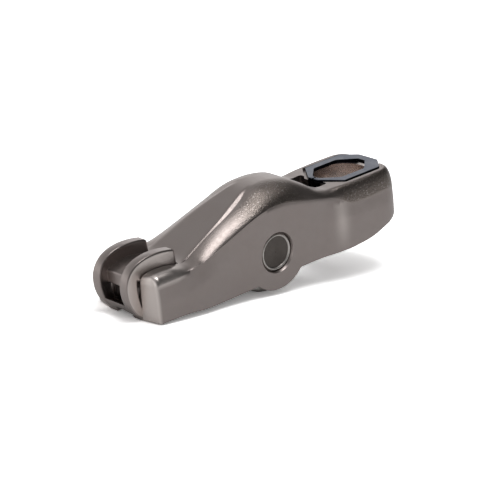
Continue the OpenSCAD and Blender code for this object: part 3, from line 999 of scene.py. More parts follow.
@dataclass(frozen=True)
class PaintedLightSkin:
    """Where the sheet is painted lighter as painted light on the faces that the light falls on, with a
    painted highlight on the flare's crest; a pair is where it starts and where it is full.
    """

    ends: Point = (-24.5, -21.5)
    under_shoulder: Point = (-2.5, -1.5)
    behind_front: Point = (0.9, 1.6)
    behind_ears: float = 0.2
    within: float = 0.02
    crest: float = 0.6
    crest_x: float = 16.2
    crest_l: float = 1.5
    crest_top: float = 5.0
    crest_at: Point = (-6.0, 2.0)

    def share(self, form: LeverForm, ears: GuideEars, points: np.ndarray) -> np.ndarray:
        """How much painted light each point carries.

        Args:
            form: The drawn form.
            ears: The guide ears.
            points: Array of n points by 3, in millimetres from the axle.

        Returns:
            1 on the shoulders, the front face and the ears' outer sides, and less on the flare's crest,
            where it is a painted highlight.
        """
        x, y, z = points[:, 0], np.abs(points[:, 1]), points[:, 2]
        low, high = (form.shoulder + place for place in self.under_shoulder)
        near, far = (form.front + place for place in self.behind_front)
        # Painted light: shoulder tops, front face and the ears' outer sides turn lighter where the light
        # falls.
        faces = np.maximum(ease(z, low, high), 1 - ease(x, near, far))
        side = (y > ears.outer_y - self.within) & (x < ears.end_x + self.behind_ears)
        # Painted highlight: a soft light stripe down the flare's crest on the walls.
        crest = self.crest * np.exp(-(((x - self.crest_x) / self.crest_l) ** 2)) * ease(z, *self.crest_at)
        crest *= (y > form.waist_w) & (z < self.crest_top)
        return np.maximum((1 - ease(x, *self.ends)) * side * faces, crest)


@dataclass
class Lever:
    """The lever body: drawn sheet, valve end, axle holes, ball socket and the clip's pocket."""

    form: LeverForm
    ears: GuideEars
    ball_r: float = 5.5
    ball_z: float = -AXLE.z / MM
    cup: float = 2.1
    bore_play: float = 0.1
    mouth: float = 0.45
    oil_r: float = 0.6
    axle_play: float = 0.01
    chamfer: float = 0.44
    window_x: float = 12.2
    window_l: float = 4.6
    window_w: float = 7.6
    window_nose: float = 0.45
    window_taper: float = 1.3
    # Grain of the band, which also carries its painted shade.
    grain: GrainAndShadeBand = GrainAndShadeBand()
    # Painted light on shoulders, front face, ears' sides and the flare's crest.
    painted_light: PaintedLightSkin = PaintedLightSkin()

    def socket_cup(self) -> Piece:
        """Builds the cup under the deck.

        Returns:
            The closed cup, still without its hollow.
        """
        outer = self.ball_r + self.cup
        top = self.form.deck - 1 - self.ball_z
        start = math.degrees(math.asin(top / outer))
        profile = [(0.0, top)] + arc((0, 0), outer, start, -90, 40)
        profile[-1] = (0.0, -outer)
        return turned("cup", profile, Axis.Z, (self.form.pivot_reach, 0, self.ball_z))

    def socket_hollow(self) -> Piece:
        """Builds the tool for the half ball, the bore above it, its rounded mouth and the oil hole.

        Returns:
            The closed tool.
        """
        bore = self.ball_r + self.bore_play
        floor = self.form.deck - 0.5 - self.ball_z
        low = -self.ball_r - self.cup - PAST
        oil_z = -math.sqrt(self.ball_r**2 - self.oil_r**2)
        ball = arc((0, 0), self.ball_r, math.degrees(math.asin(oil_z / self.ball_r)), 0, 40)
        mouth = [(bore, floor - self.mouth), (bore + self.mouth, floor), (bore + self.mouth, self.form.deck)]
        profile = [(0.0, low), (self.oil_r, low)] + ball + [(bore, 0.02)] + mouth + [(0.0, self.form.deck)]
        return turned("hollow", profile, Axis.Z, (self.form.pivot_reach, 0, self.ball_z))

    def axle_holes(self) -> Piece:
        """Builds the tool for both axle holes with their outer chamfers.

        Returns:
            The closed tool.
        """
        wall, bore, chamfer = self.form.waist_w, AXLE_R + self.axle_play, self.chamfer
        half = [
            (bore, wall - 2 * chamfer),
            (bore + 0.15, wall - 1.9 * chamfer),
            (bore + 0.9 * chamfer, wall - 0.12),
            (bore + chamfer + 0.05, wall),
            (bore + chamfer + 0.1, wall + 3 * PAST),
            (0.0, wall + 3 * PAST),
        ]
        return turned("axle_holes", mirror(half) + half, Axis.Y)

    def deck_window(self) -> Piece:
        """Builds the tool for the window in the deck in front of the clip.

        Returns:
            The closed tool.
        """
        x0, x1, side = self.window_x, self.window_x + self.window_l, self.window_w / 2
        near = [(x0, -self.window_nose * side), (x0 + self.window_taper, -side), (x1, -side)]
        flat = round_corners(near + mirror(near), [1.2, 0.8, 0.5, 0.5, 0.8, 1.2], 8)
        low, high = self.form.deck - self.form.sheet - 2 * PAST, self.form.deck + 5 * PAST
        return plate("deck_window", flat, low, high, Axis.Z)

    def in_bowl(self, points: np.ndarray) -> np.ndarray:
        """Tells which points lie in the polished bowl of the socket, which also gets a painted sheen.

        Args:
            points: Array of n points by 3, in millimetres from the axle.

        Returns:
            True for each point inside.
        """
        from_middle = np.hypot(points[:, 0] - self.form.pivot_reach, points[:, 1])
        depth = self.form.deck - points[:, 2]
        return (from_middle < self.ball_r + 2 * self.mouth) & (depth > self.mouth) & (depth < self.form.deck)

    def build(self, pocket: list[Piece]) -> Piece:
        """Builds the whole body.

        Args:
            pocket: Tools for the pocket that the clip lies in.

        Returns:
            The finished piece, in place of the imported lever_body.
        """
        ears = self.ears
        body = self.form.sheet_piece()
        for tool in ears.front_cuts() + ears.grooves():
            boolean(body, tool, Cut.TAKE)
        for part in ears.ears() + [ears.nose(), ears.bridge(), self.socket_cup()]:
            boolean(body, part, Cut.ADD)
        cuts = [ears.stem_slot(), ears.arch(), self.axle_holes(), self.socket_hollow(), self.deck_window()]
        for tool in cuts + pocket:
            boolean(body, tool, Cut.TAKE)
        weld(body, CUT_GAP)
        smooth(body)
        points = (vertex_places(body) - np.array(AXLE)) / MM
        # Share of grain, which also darkens the band as painted shade.
        paint(body, "grain", self.grain.share(self.form, points))
        # Painted light: share of the lighter painted faces and the crest highlight.
        paint(body, "painted_light", self.painted_light.share(self.form, ears, points))
        # Polished bowl: smoother, and a light colour as a painted sheen inside the socket.
        paint(body, "polish_and_sheen", self.in_bowl(points))
        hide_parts("lever_body")
        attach(body, "lever")
        return body


@dataclass
class RollerAxle:
    """The staked pin that the needles run on."""

    dish_r: float = 2.95
    dish: float = 0.35
    rim_r: float = 3.3
    mark_r: float = 0.22
    mark: float = 0.12

    def build(self) -> Piece:
        """Builds the pin with a dished, staked face and a centre mark at each end.

        Returns:
            The finished piece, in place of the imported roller_axle.
        """
        end = AXLE_L / 2
        floor = end - self.dish
        half = [
            (AXLE_R, end - 0.18),
            (AXLE_R - 0.05, end - 0.06),
            (AXLE_R - 0.15, end),
            (self.rim_r - 0.05, end),
            (self.rim_r - 0.15, end - 0.04),
            (self.dish_r + 0.05, floor + 0.05),
            (self.dish_r - 0.1, floor),
            (self.mark_r + 0.1, floor + 0.02),
            (self.mark_r, floor),
            (0.0, floor - self.mark),
        ]
        pin = turned("axle_pin", mirror(half) + half, Axis.Y, segments=160)
        smooth(pin, FINE_SHARP)
        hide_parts("roller_axle")
        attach(pin, "lever")
        return pin


@dataclass
class CamRoller:
    """The outer ring that the cam runs on."""

    bore_r: float = 5.04
    round_r: float = 0.5
    bore_chamfer: float = 0.3
    crown: float = 0.004

    def build(self) -> Piece:
        """Builds the ring with rounded rims and a very slightly crowned tread.

        Returns:
            The finished piece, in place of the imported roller.
        """
        face, chamfer = ROLLER_W / 2, self.bore_chamfer
        edge = face - self.round_r
        tread = [(ROLLER_R - self.crown * (y / face) ** 2, y) for y in np.linspace(-edge, edge, 9)]
        upper = arc((ROLLER_R - self.crown - self.round_r, edge), self.round_r, 0, 90, 6)[1:]
        inside = [(self.bore_r + chamfer, face), (self.bore_r, face - chamfer)]
        profile = mirror(upper) + tread + upper + inside + mirror(inside)
        ring = turned("cam_roller", profile, Axis.Y, segments=192)
        smooth(ring, FINE_SHARP)
        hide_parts("roller")
        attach(ring, "roller")
        return ring


@dataclass
class NeedleSet:
    """The full ring of needle rollers between axle and roller."""

    needle_r: float = 0.75
    pitch_r: float = 4.27
    inset: float = 0.2
    nose: float = 0.25

    def build(self) -> list[Piece]:
        """Builds every needle with rounded ends.

        Returns:
            The finished pieces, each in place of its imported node.
        """
        names = sorted(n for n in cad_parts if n.startswith("needle_"))
        end = ROLLER_W / 2 - self.inset
        half = arc((self.needle_r - self.nose, end - self.nose), self.nose, 0, 90, 5) + [(0.0, end)]
        made = []
        for k, name in enumerate(names):
            a = 2 * math.pi * k / len(names)
            place = (self.pitch_r * math.cos(a), 0, self.pitch_r * math.sin(a))
            label = name.replace("needle", "needle_roller")
            needle = turned(label, mirror(half) + half, Axis.Y, place, segments=32)
            smooth(needle, FINE_SHARP)
            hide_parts(name)
            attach(needle, "needle_set")
            made.append(needle)
        return made


@dataclass
class RetainingClip:
    """The flat spring clip over the socket, with its pocket in the deck."""

    form: LeverForm
    thick: float = 0.7
    length: float = 14.9
    width: float = 11.3
    shift: float = 0.2
    open_l: float = 12.2
    open_w: float = 7.9
    open_shift: float = -0.3
    open_nose: float = 0.9
    open_corner: float = 3.1
    pocket: float = 0.5
    gap: float = 0.5
    play: float = 0.1
    slit: float = 0.4
    tab: float = 2.4
    tab_room: float = 0.4
    front_bar: float = 2.4
    rear_bar: float = 5.0
    front_corner: float = 3.2
    rear_corner: float = 2.5
    edge: float = 0.12
    window_reach: float = 10.4
    x0: float = field(init=False)
    x1: float = field(init=False)
    open_x0: float = field(init=False)
    z: float = field(init=False)

    def __post_init__(self) -> None:
        """Works out the frame's ends and height."""
        self.x0 = self.form.pivot_reach + self.shift - self.length / 2
        self.x1 = self.x0 + self.length
        self.open_x0 = self.form.pivot_reach + self.open_shift - self.open_l / 2
        self.z = self.form.deck - self.pocket

    def frame_outline(self, grown: float = 0.0) -> np.ndarray:
        """Plan outline of the frame.

        Args:
            grown: How far it is grown all round.

        Returns:
            Closed outline of n points by 2.
        """
        side = self.width / 2 + grown
        near = [
            (self.x0 - grown, -self.front_bar / 2 - grown),
            (self.x0 + self.front_corner - grown / 2, -side),
            (self.x1 - self.rear_corner + grown / 2, -side),
            (self.x1 + grown, -self.rear_bar / 2 - grown),
        ]
        return round_corners(near + mirror(near), [0.3, 0.6, 0.6, 0.5, 0.5, 0.6, 0.6, 0.3])

    def opening_outline(self) -> np.ndarray:
        """Plan outline of the opening that the pivot's neck passes through.

        Returns:
            Closed outline of n points by 2.
        """
        side, x0, x1 = self.open_w / 2, self.open_x0, self.open_x0 + self.open_l
        nose, corner = self.open_nose, self.open_corner
        near = [(x0, -nose), (x0 + corner, -side), (x1 - corner, -side), (x1, -nose)]
        return round_corners(near + mirror(near), [0.3, 1.2, 1.2, 0.5, 0.5, 1.2, 1.2, 0.3])

    def pocket_tools(self) -> list[Piece]:
        """Builds tools for the pocket in the deck and the slots for tabs and tail hook.

        Returns:
            The closed tools.
        """
        floor, above = self.z - self.tab - self.tab_room, self.form.deck + 2 * PAST
        rear, front = self.rear_bar / 2 + self.gap, self.front_bar / 2 + self.gap
        tail = ((self.x1 - self.thick - self.play, -rear, floor), (self.form.rear + 2 * PAST, rear, above))
        tabs = (
            (self.form.pivot_reach - self.window_reach, -front, floor),
            (self.x0 + self.thick + self.play, front, above),
        )
        flat = self.frame_outline(self.gap)
        return [
            plate("pocket", flat, self.z, self.form.deck + PAST, Axis.Z),
            block("tail_slot", *tail),
            block("tab_slot", *tabs),
        ]

    def build(self) -> Piece:
        """Builds the clip: a split flat frame with two front tabs and a tail hook.

        Returns:
            The finished piece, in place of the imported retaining_clip.
        """
        inset, low, high = 0.02, self.z - self.tab, self.z + self.thick - 0.05
        front, rear, slit = self.front_bar / 2, self.rear_bar / 2, self.slit / 2
        clip = plate("spring_clip", self.frame_outline(), self.z, self.z + self.thick, Axis.Z, self.edge)
        opening = plate("opening", self.opening_outline(), self.z - PAST, self.z + 2 * PAST, Axis.Z)
        tabs = block("tabs", (self.x0 + inset, -front, low), (self.x0 + self.thick, front, high))
        tail = block("tail", (self.x1 - self.thick, -rear, low), (self.x1 - inset, rear, high))
        split = block("split", (self.x0 - PAST, -slit, low - PAST), (self.open_x0 + PAST, slit, high + PAST))
        steps = [(opening, Cut.TAKE), (tabs, Cut.ADD), (tail, Cut.ADD), (split, Cut.TAKE)]
        for tool, kind in steps:
            boolean(clip, tool, kind)
        weld(clip, CUT_GAP)
        smooth(clip)
        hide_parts("retaining_clip")
        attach(clip, "lever")
        return clip


@dataclass(frozen=True)
class Viewpoint:
    """The camera's place in the object's own frame, in millimetres, degrees and pixels.

    The object stands with its pivot end raised by pitch degrees against the camera's level.
    """

    azimuth: float = -41.5
    elevation: float = 18.0
    pitch: float = 6.0
    distance: float = 450.0
    focal: float = 2412.0
    image: float = 500.0
    aim: Place = (0.0, -7.4, 0.0)
    aim_pixel: Point = (277.9, 252.7)
    sensor: float = 36.0
    clip: Point = (0.01, 20.0)

    def axes(self) -> tuple[Vector, Vector, Vector]:
        """Directions of the camera in the object's frame.

        Returns:
            Right, up and forward.
        """
        a, e, p = (math.radians(v) for v in (self.azimuth, self.elevation, self.pitch))
        right = Vector((math.cos(a), math.sin(a), 0))
        up = Vector((-math.sin(a) * math.sin(e), math.cos(a) * math.sin(e), math.cos(e)))
        level = Matrix.Rotation(p, 3, "Y")
        return level @ right, level @ up, level @ up.cross(right)

    def build(self) -> bpy.types.Object:
        """Makes the camera and sets it as the scene's camera.

        Returns:
            The camera.
        """
        right, up, forward = self.axes()
        scale = self.distance / self.focal
        across = (self.aim_pixel[0] - self.image / 2) * scale
        above = (self.image / 2 - self.aim_pixel[1]) * scale
        place = Vector(self.aim) - right * across - up * above - forward * self.distance
        data = bpy.data.cameras.new("camera")
        data.sensor_width = self.sensor
        data.lens = self.focal * self.sensor / self.image
        data.clip_start, data.clip_end = self.clip
        camera = add_object("camera", data)
        turn = Matrix((right, up, -forward)).transposed()
        camera.matrix_world = Matrix.Translation(place * MM + AXLE) @ turn.to_4x4()
        bpy.context.scene.camera = camera
        return camera


class Nodes:
    """Small helper that adds and links shader nodes in one tree."""

    def __init__(self, tree: bpy.types.NodeTree) -> None:
        """Keeps the tree and empties it."""
        self.tree = tree
        tree.nodes.clear()

    def add(self, kind: str, **settings: object) -> Node:
        """Adds a node.

        Args:
            kind: Node type, without its ShaderNode prefix.
            **settings: The node's own settings by name.

        Returns:
            The node.
        """
        made = self.tree.nodes.new("ShaderNode" + kind)
        for name, value in settings.items():
            setattr(made, name, value)
        return made

    def link(self, source: Socket, target: Socket) -> None:
        """Links two sockets."""
        self.tree.links.new(source, target)

    def feed(self, slot: Socket, value: Socket | float | Sequence[float]) -> None:
        """Gives an input its source or its own value.

        Args:
            slot: The input.
            value: Socket to link, number, place, or colour without its alpha.
        """
        if isinstance(value, Socket):
            self.link(value, slot)
        elif slot.type == "RGBA":
            slot.default_value = (*value, 1.0)
        else:
            slot.default_value = value

    def math(self, kind: str, *values: Socket | float) -> Socket:
        """Adds a Math node.

        Args:
            kind: Its operation.
            *values: Its inputs, as sockets or numbers.

        Returns:
            The result's socket.
        """
        made = self.add("Math", operation=kind)
        for slot, value in zip(made.inputs, values):
            self.feed(slot, value)
        return made.outputs[0]

    def dot(self, first: Socket, second: Socket | Place) -> Socket:
        """Adds the dot product of two vectors.

        Args:
            first: Socket of a vector.
            second: Socket of a vector, or the vector itself.

        Returns:
            The product's socket.
        """
        made = self.add("VectorMath", operation="DOT_PRODUCT")
        self.feed(made.inputs[0], first)
        self.feed(made.inputs[1], second)
        return made.outputs["Value"]

    def mix(self, share: Socket | float, first: Socket | Colour, second: Socket | Colour) -> Socket:
        """Adds a colour Mix node.

        Args:
            share: Share of the second colour.
            first: First colour.
            second: Second colour.

        Returns:
            The mixed colour's socket.
        """
        made = self.add("Mix", data_type="RGBA")
        by_type = {slot.identifier: slot for slot in made.inputs}
        self.feed(by_type["Factor_Float"], share)
        self.feed(by_type["A_Color"], first)
        self.feed(by_type["B_Color"], second)
        return next(slot for slot in made.outputs if slot.identifier == "Result_Color")

    def noise(self, vector: Socket, scale: Socket | float, detail: float, rough: float) -> Socket:
        """Adds a noise texture.

        Args:
            vector: Where it is read.
            scale: Its scale.
            detail: Number of finer layers.
            rough: Strength of the finer layers.

        Returns:
            Its value's socket.
        """
        made = self.add("TexNoise")
        settings = {"Vector": vector, "Scale": scale, "Detail": detail, "Roughness": rough}
        for name, value in settings.items():
            self.feed(made.inputs[name], value)
        return made.outputs["Fac"]

    def span(self, value: Socket, source: Point, target: Point = (0.0, 1.0)) -> Socket:
        """Maps a range of values to another, smoothly and clamped.

        Args:
            value: What is mapped.
            source: Its range.
            target: The range of the result.

        Returns:
            The result's socket.
        """
        made = self.add("MapRange", interpolation_type="SMOOTHSTEP")
        names = ("Value", "From Min", "From Max", "To Min", "To Max")
        for name, given in zip(names, (value, *source, *target)):
            self.feed(made.inputs[name], given)
        return made.outputs["Result"]

    def attribute(self, name: str) -> Socket:
        """Value that was painted on the vertices under a name."""
        return self.add("Attribute", attribute_name=name).outputs["Fac"]

    def local(self, kind: str = "Object") -> Socket:
        """Place on the object or, as Normal, direction of its surface."""
        return self.add("TexCoord").outputs[kind]

    def parts(self, vector: Socket) -> Node:
        """Splits a vector.

        Args:
            vector: Its socket.

        Returns:
            Node with the outputs X, Y and Z.
        """
        made = self.add("SeparateXYZ")
        self.link(vector, made.inputs[0])
        return made

    def place(self, group: bpy.types.NodeTree, **values: Socket | float) -> Node:
        """Places a node group.

        Args:
            group: The group.
            **values: Its inputs by name.

        Returns:
            The group's node.
        """
        made = self.add("Group", node_tree=group)
        for name, value in values.items():
            self.feed(made.inputs[name], value)
        return made


class Effects:
    """Shader node groups that several finishes share."""

    def __init__(self) -> None:
        """Builds every group once."""
        self.grain = self.group("formed_grain", ("Scale", "Share"), ("Height", "Speck"), self.draw_grain)
        self.wear = self.group("edge_wear", ("Radius", "Scale"), ("Mask",), self.draw_wear)
        self.tone = self.group("surface_tone", ("Scale",), ("Cloud", "Haze"), self.draw_tone)
        self.lines = self.group("ground_lines", ("Scale",), ("Height",), self.draw_lines)

    @staticmethod
    def group(
        name: str, inputs: Sequence[str], outputs: Sequence[str], draw: Callable[[Nodes, Node, Node], None]
    ) -> bpy.types.NodeTree:
        """Makes a shader node group with named sockets.

        Args:
            name: Name of the group.
            inputs: Input names.
            outputs: Output names.
            draw: Fills the group.

        Returns:
            The group.
        """
        tree = bpy.data.node_groups.new(name, "ShaderNodeTree")
        for side, labels in (("INPUT", inputs), ("OUTPUT", outputs)):
            for label in labels:
                tree.interface.new_socket(name=label, in_out=side, socket_type="NodeSocketFloat")
        draw(Nodes(tree), tree.nodes.new("NodeGroupInput"), tree.nodes.new("NodeGroupOutput"))
        return tree

    @staticmethod
    def draw_grain(n: Nodes, start: Node, end: Node) -> None:
        """Coarse crystals of stretched sheet: a bump height and light specks.

        Args:
            n: The group's nodes.
            start: Node with the group's inputs.
            end: Node with its outputs.
        """
        place, scale, share = n.local(), start.outputs["Scale"], start.outputs["Share"]
        cells = n.add("TexVoronoi", feature="F1")
        n.link(place, cells.inputs["Vector"])
        n.link(scale, cells.inputs["Scale"])
        fine = n.noise(place, scale, detail=3.0, rough=0.7)
        height = n.math("ADD", n.math("MULTIPLY", cells.outputs["Distance"], 0.6), fine)
        n.link(n.math("MULTIPLY", height, share), end.inputs["Height"])
        n.link(n.math("MULTIPLY", n.span(fine, (0.54, 0.68)), share), end.inputs["Speck"])

    @staticmethod
    def draw_wear(n: Nodes, start: Node, end: Node) -> None:
        """Rubbed edges: where a bevelled normal leaves the true one, broken up by noise.

        Args:
            n: The group's nodes.
            start: Node with the group's inputs.
            end: Node with its outputs.
        """
        soft = n.add("Bevel", samples=6)
        n.link(start.outputs["Radius"], soft.inputs["Radius"])
        likeness = n.dot(soft.outputs["Normal"], n.add("NewGeometry").outputs["Normal"])
        patches = n.noise(n.local(), start.outputs["Scale"], detail=3.0, rough=0.6)
        mask = n.math("MULTIPLY", n.span(likeness, (0.985, 0.86)), n.span(patches, (0.35, 0.6)))
        n.link(mask, end.inputs["Mask"])

    @staticmethod
    def draw_tone(n: Nodes, start: Node, end: Node) -> None:
        """Slow clouds of tone and a finer haze.

        Args:
            n: The group's nodes.
            start: Node with the group's inputs.
            end: Node with its outputs.
        """
        place, scale = n.local(), start.outputs["Scale"]
        cloud = n.noise(place, scale, detail=3.0, rough=0.55)
        haze = n.noise(place, n.math("MULTIPLY", scale, 9.0), detail=4.0, rough=0.65)
        n.link(n.span(cloud, (0.3, 0.7)), end.inputs["Cloud"])
        n.link(n.span(haze, (0.25, 0.75)), end.inputs["Haze"])

    @staticmethod
    def draw_lines(n: Nodes, start: Node, end: Node) -> None:
        """Grinding lines round the roller's axis.

        Args:
            n: The group's nodes.
            start: Node with the group's inputs.
            end: Node with its outputs.
        """
        squash = n.add("Mapping")
        squash.inputs["Scale"].default_value = (0.04, 1.0, 0.04)
        n.link(n.local(), squash.inputs["Vector"])
        lines = n.noise(squash.outputs["Vector"], start.outputs["Scale"], detail=3.0, rough=0.6)
        n.link(lines, end.inputs["Height"])


@dataclass(frozen=True)
class Surface:
    """What a metal's own nodes put out: its colour, its roughness and the height of its bump."""

    colour: Socket
    rough: Socket
    height: Socket


@dataclass(frozen=True)
class MetalFinish(ABC):
    """What every metal here shares: tone, edge wear, satin roughness and a fine bump, in metres."""

    name: str
    tone_scale: float
    wear_radius: float
    wear_scale: float
    rough: Point
    bump: float
    bump_height: float

    @abstractmethod
    def surface(self, n: Nodes, effects: Effects, tone: Node, wear: Socket, satin: Socket) -> Surface:
        """Draws what is the metal's own.

        Args:
            n: The material's nodes.
            effects: The shared groups.
            tone: Node with the outputs Cloud and Haze.
            wear: Mask of the rubbed edges.
            satin: Roughness that varies with the haze.

        Returns:
            The sockets that feed the shader.
        """

    def material(self, effects: Effects) -> bpy.types.Material:
        """Builds the material.

        Args:
            effects: The shared groups.

        Returns:
            The material.
        """
        material = bpy.data.materials.new(self.name)
        material.use_nodes = True
        n = Nodes(material.node_tree)
        out = n.add("OutputMaterial")
        shader = n.add("BsdfPrincipled")
        n.link(shader.outputs[0], out.inputs[0])
        tone = n.place(effects.tone, Scale=self.tone_scale)
        wear = n.place(effects.wear, Radius=self.wear_radius, Scale=self.wear_scale)
        satin = n.span(tone.outputs["Haze"], (0.0, 1.0), self.rough)
        surface = self.surface(n, effects, tone, wear.outputs["Mask"], satin)
        n.link(surface.colour, shader.inputs["Base Color"])
        n.link(surface.rough, shader.inputs["Roughness"])
        shader.inputs["Metallic"].default_value = 1.0
        bump = n.add("Bump")
        bump.inputs["Strength"].default_value = self.bump
        bump.inputs["Distance"].default_value = self.bump_height
        n.link(surface.height, bump.inputs["Height"])
        n.link(bump.outputs["Normal"], shader.inputs["Normal"])
        return material


@dataclass(frozen=True)
class NitridedSheet(MetalFinish):
    """Brownish-grey satin finish of the drawn sheet steel."""

    name: str = "nitrided_sheet"
    tone_scale: float = 110.0
    wear_radius: float = 0.00022
    wear_scale: float = 1300.0
    rough: Point = (0.3, 0.37)
    bump: float = 0.6
    bump_height: float = 0.00012
    base: Colour = (0.33, 0.29, 0.277)
    warm: Colour = (0.315, 0.27, 0.255)
    # Light colour painted as painted light on the lit faces and the crest highlight.
    painted_light: Colour = (0.66, 0.6, 0.57)
    # Dark brown on the band: partly the stretched grain, partly painted shade for the dark reflection there.
    dark_grain_and_shade: Colour = (0.2, 0.17, 0.15)
    rubbed: Colour = (0.62, 0.57, 0.54)
    # Painted sheen: light colour for the light and highlights inside the socket's bowl.
    painted_bowl_sheen: Colour = (0.86, 0.78, 0.74)
    grain_scale: float = 3000.0
    burnished_rough: float = 0.24
    clouding: float = 0.6
    grain_and_shade_darkening: float = 0.8
    specks: float = 0.7
    rubbing: float = 0.6
    skin: float = 0.015

    def surface(self, n: Nodes, effects: Effects, tone: Node, wear: Socket, satin: Socket) -> Surface:
        """Draws the clouded sheet, its painted light on the lit faces, grain that also darkens the band as
        painted shade, specks, rubbed edges and the polished bowl with its painted sheen.

        Args:
            n: The material's nodes.
            effects: The shared groups.
            tone: Node with the outputs Cloud and Haze.
            wear: Mask of the rubbed edges.
            satin: Roughness that varies with the haze.

        Returns:
            The sockets that feed the shader.
        """
        share, polish_and_sheen = n.attribute("grain"), n.attribute("polish_and_sheen")
        grain = n.place(effects.grain, Scale=self.grain_scale, Share=share)
        haze, height = tone.outputs["Haze"], grain.outputs["Height"]
        colour = n.mix(n.math("MULTIPLY", tone.outputs["Cloud"], self.clouding), self.base, self.warm)
        # Painted light: lit faces and the flare's crest take the lighter colour.
        colour = n.mix(n.attribute("painted_light"), colour, self.painted_light)
        # Grain and painted shade: the band darkens towards a dark brown.
        colour = n.mix(n.math("MULTIPLY", share, self.grain_and_shade_darkening), colour, self.dark_grain_and_shade)
        colour = n.mix(n.math("MULTIPLY", grain.outputs["Speck"], self.specks), colour, self.rubbed)
        colour = n.mix(n.math("MULTIPLY", wear, self.rubbing), colour, self.rubbed)
        plain = n.math("MULTIPLY", n.math("SUBTRACT", 1.0, polish_and_sheen), satin)
        rough = n.math("ADD", plain, n.math("MULTIPLY", polish_and_sheen, self.burnished_rough))
        height = n.math("ADD", height, n.math("MULTIPLY", haze, self.skin))
        # Painted sheen: the bowl takes the light colour, and its own lower roughness.
        return Surface(n.mix(polish_and_sheen, colour, self.painted_bowl_sheen), rough, height)


@dataclass(frozen=True)
class GroundSteel(MetalFinish):
    """Bright ground bearing steel."""

    name: str = "ground_steel"
    tone_scale: float = 160.0
    wear_radius: float = 0.00015
    wear_scale: float = 1500.0
    rough: Point = (0.16, 0.26)
    bump: float = 0.12
    bump_height: float = 0.00005
    base: Colour = (0.52, 0.5, 0.48)
    worn: Colour = (0.7, 0.68, 0.66)
    line_scale: float = 5200.0

    def surface(self, n: Nodes, effects: Effects, tone: Node, wear: Socket, satin: Socket) -> Surface:
        """Draws the grinding lines and the worn edges.

        Args:
            n: The material's nodes.
            effects: The shared groups.
            tone: Node with the outputs Cloud and Haze.
            wear: Mask of the rubbed edges.
            satin: Roughness that varies with the haze.

        Returns:
            The sockets that feed the shader.
        """
        lines = n.place(effects.lines, Scale=self.line_scale)
        return Surface(n.mix(wear, self.base, self.worn), satin, lines.outputs["Height"])


@dataclass(frozen=True)
class HardenedPin(MetalFinish):
    """Dark hardened pin with a bright staked rim."""

    name: str = "hardened_pin"
    tone_scale: float = 400.0
    wear_radius: float = 0.0001
    wear_scale: float = 2000.0
    rough: Point = (0.34, 0.5)
    bump: float = 0.15
    bump_height: float = 0.00005
    base: Colour = (0.13, 0.115, 0.105)
    rim: Colour = (0.6, 0.57, 0.54)
    rim_at: Point = (0.003, 0.00312)
    dark: float = 0.7
    clouding: float = 0.4
    rubbing: float = 0.5

    def surface(self, n: Nodes, effects: Effects, tone: Node, wear: Socket, satin: Socket) -> Surface:
        """Draws the dark face and the rim, which is told by its distance from the pin's axis.

        Args:
            n: The material's nodes.
            effects: The shared groups.
            tone: Node with the outputs Cloud and Haze.
            wear: Mask of the rubbed edges.
            satin: Roughness that varies with the haze.

        Returns:
            The sockets that feed the shader.
        """
        centred = n.add("Mapping")
        centred.inputs["Location"].default_value = (-AXLE.x, 0, -AXLE.z)
        n.link(n.local(), centred.inputs["Vector"])
        place = n.parts(centred.outputs["Vector"]).outputs
        square = n.math("ADD", n.math("POWER", place["X"], 2.0), n.math("POWER", place["Z"], 2.0))
        rim = n.span(n.math("SQRT", square), self.rim_at)
        dark = tuple(self.dark * c for c in self.base)
        colour = n.mix(n.math("MULTIPLY", tone.outputs["Cloud"], self.clouding), self.base, dark)
        colour = n.mix(rim, colour, self.rim)
        colour = n.mix(n.math("MULTIPLY", wear, self.rubbing), colour, self.rim)
        return Surface(colour, satin, tone.outputs["Haze"])


@dataclass(frozen=True)
class BluedSpring(MetalFinish):
    """Dark blue-grey spring sheet with rubbed faces, and painted shade that darkens its cut edges and sides.
    """

    name: str = "blued_spring"
    tone_scale: float = 300.0
    wear_radius: float = 0.00012
    wear_scale: float = 1800.0
    rough: Point = (0.28, 0.4)
    bump: float = 0.1
    bump_height: float = 0.00004
    base: Colour = (0.105, 0.115, 0.15)
    haze: Colour = (0.16, 0.17, 0.2)
    rubbed: Colour = (0.42, 0.43, 0.48)
    # Painted shade: near-black colour for edges and sides that face away from the light.
    painted_side_shade: Colour = (0.012, 0.013, 0.018)
    side_shade_at: Point = (0.35, 0.8)
    rubbing: float = 0.6

    def surface(self, n: Nodes, effects: Effects, tone: Node, wear: Socket, satin: Socket) -> Surface:
        """Draws the blued faces and the painted shade on edges and sides, which are told by the surface's
        direction.

        Args:
            n: The material's nodes.
            effects: The shared groups.
            tone: Node with the outputs Cloud and Haze.
            wear: Mask of the rubbed edges.
            satin: Roughness that varies with the haze.

        Returns:
            The sockets that feed the shader.
        """
        # Painted shade: faces that are not level turn near black.
        upwards = n.parts(n.local("Normal")).outputs["Z"]
        level = n.span(n.math("ABSOLUTE", upwards), self.side_shade_at)
        colour = n.mix(level, self.painted_side_shade, n.mix(tone.outputs["Cloud"], self.base, self.haze))
        rubbing = n.math("MULTIPLY", n.math("MULTIPLY", wear, self.rubbing), level)
        return Surface(n.mix(rubbing, colour, self.rubbed), satin, tone.outputs["Haze"])


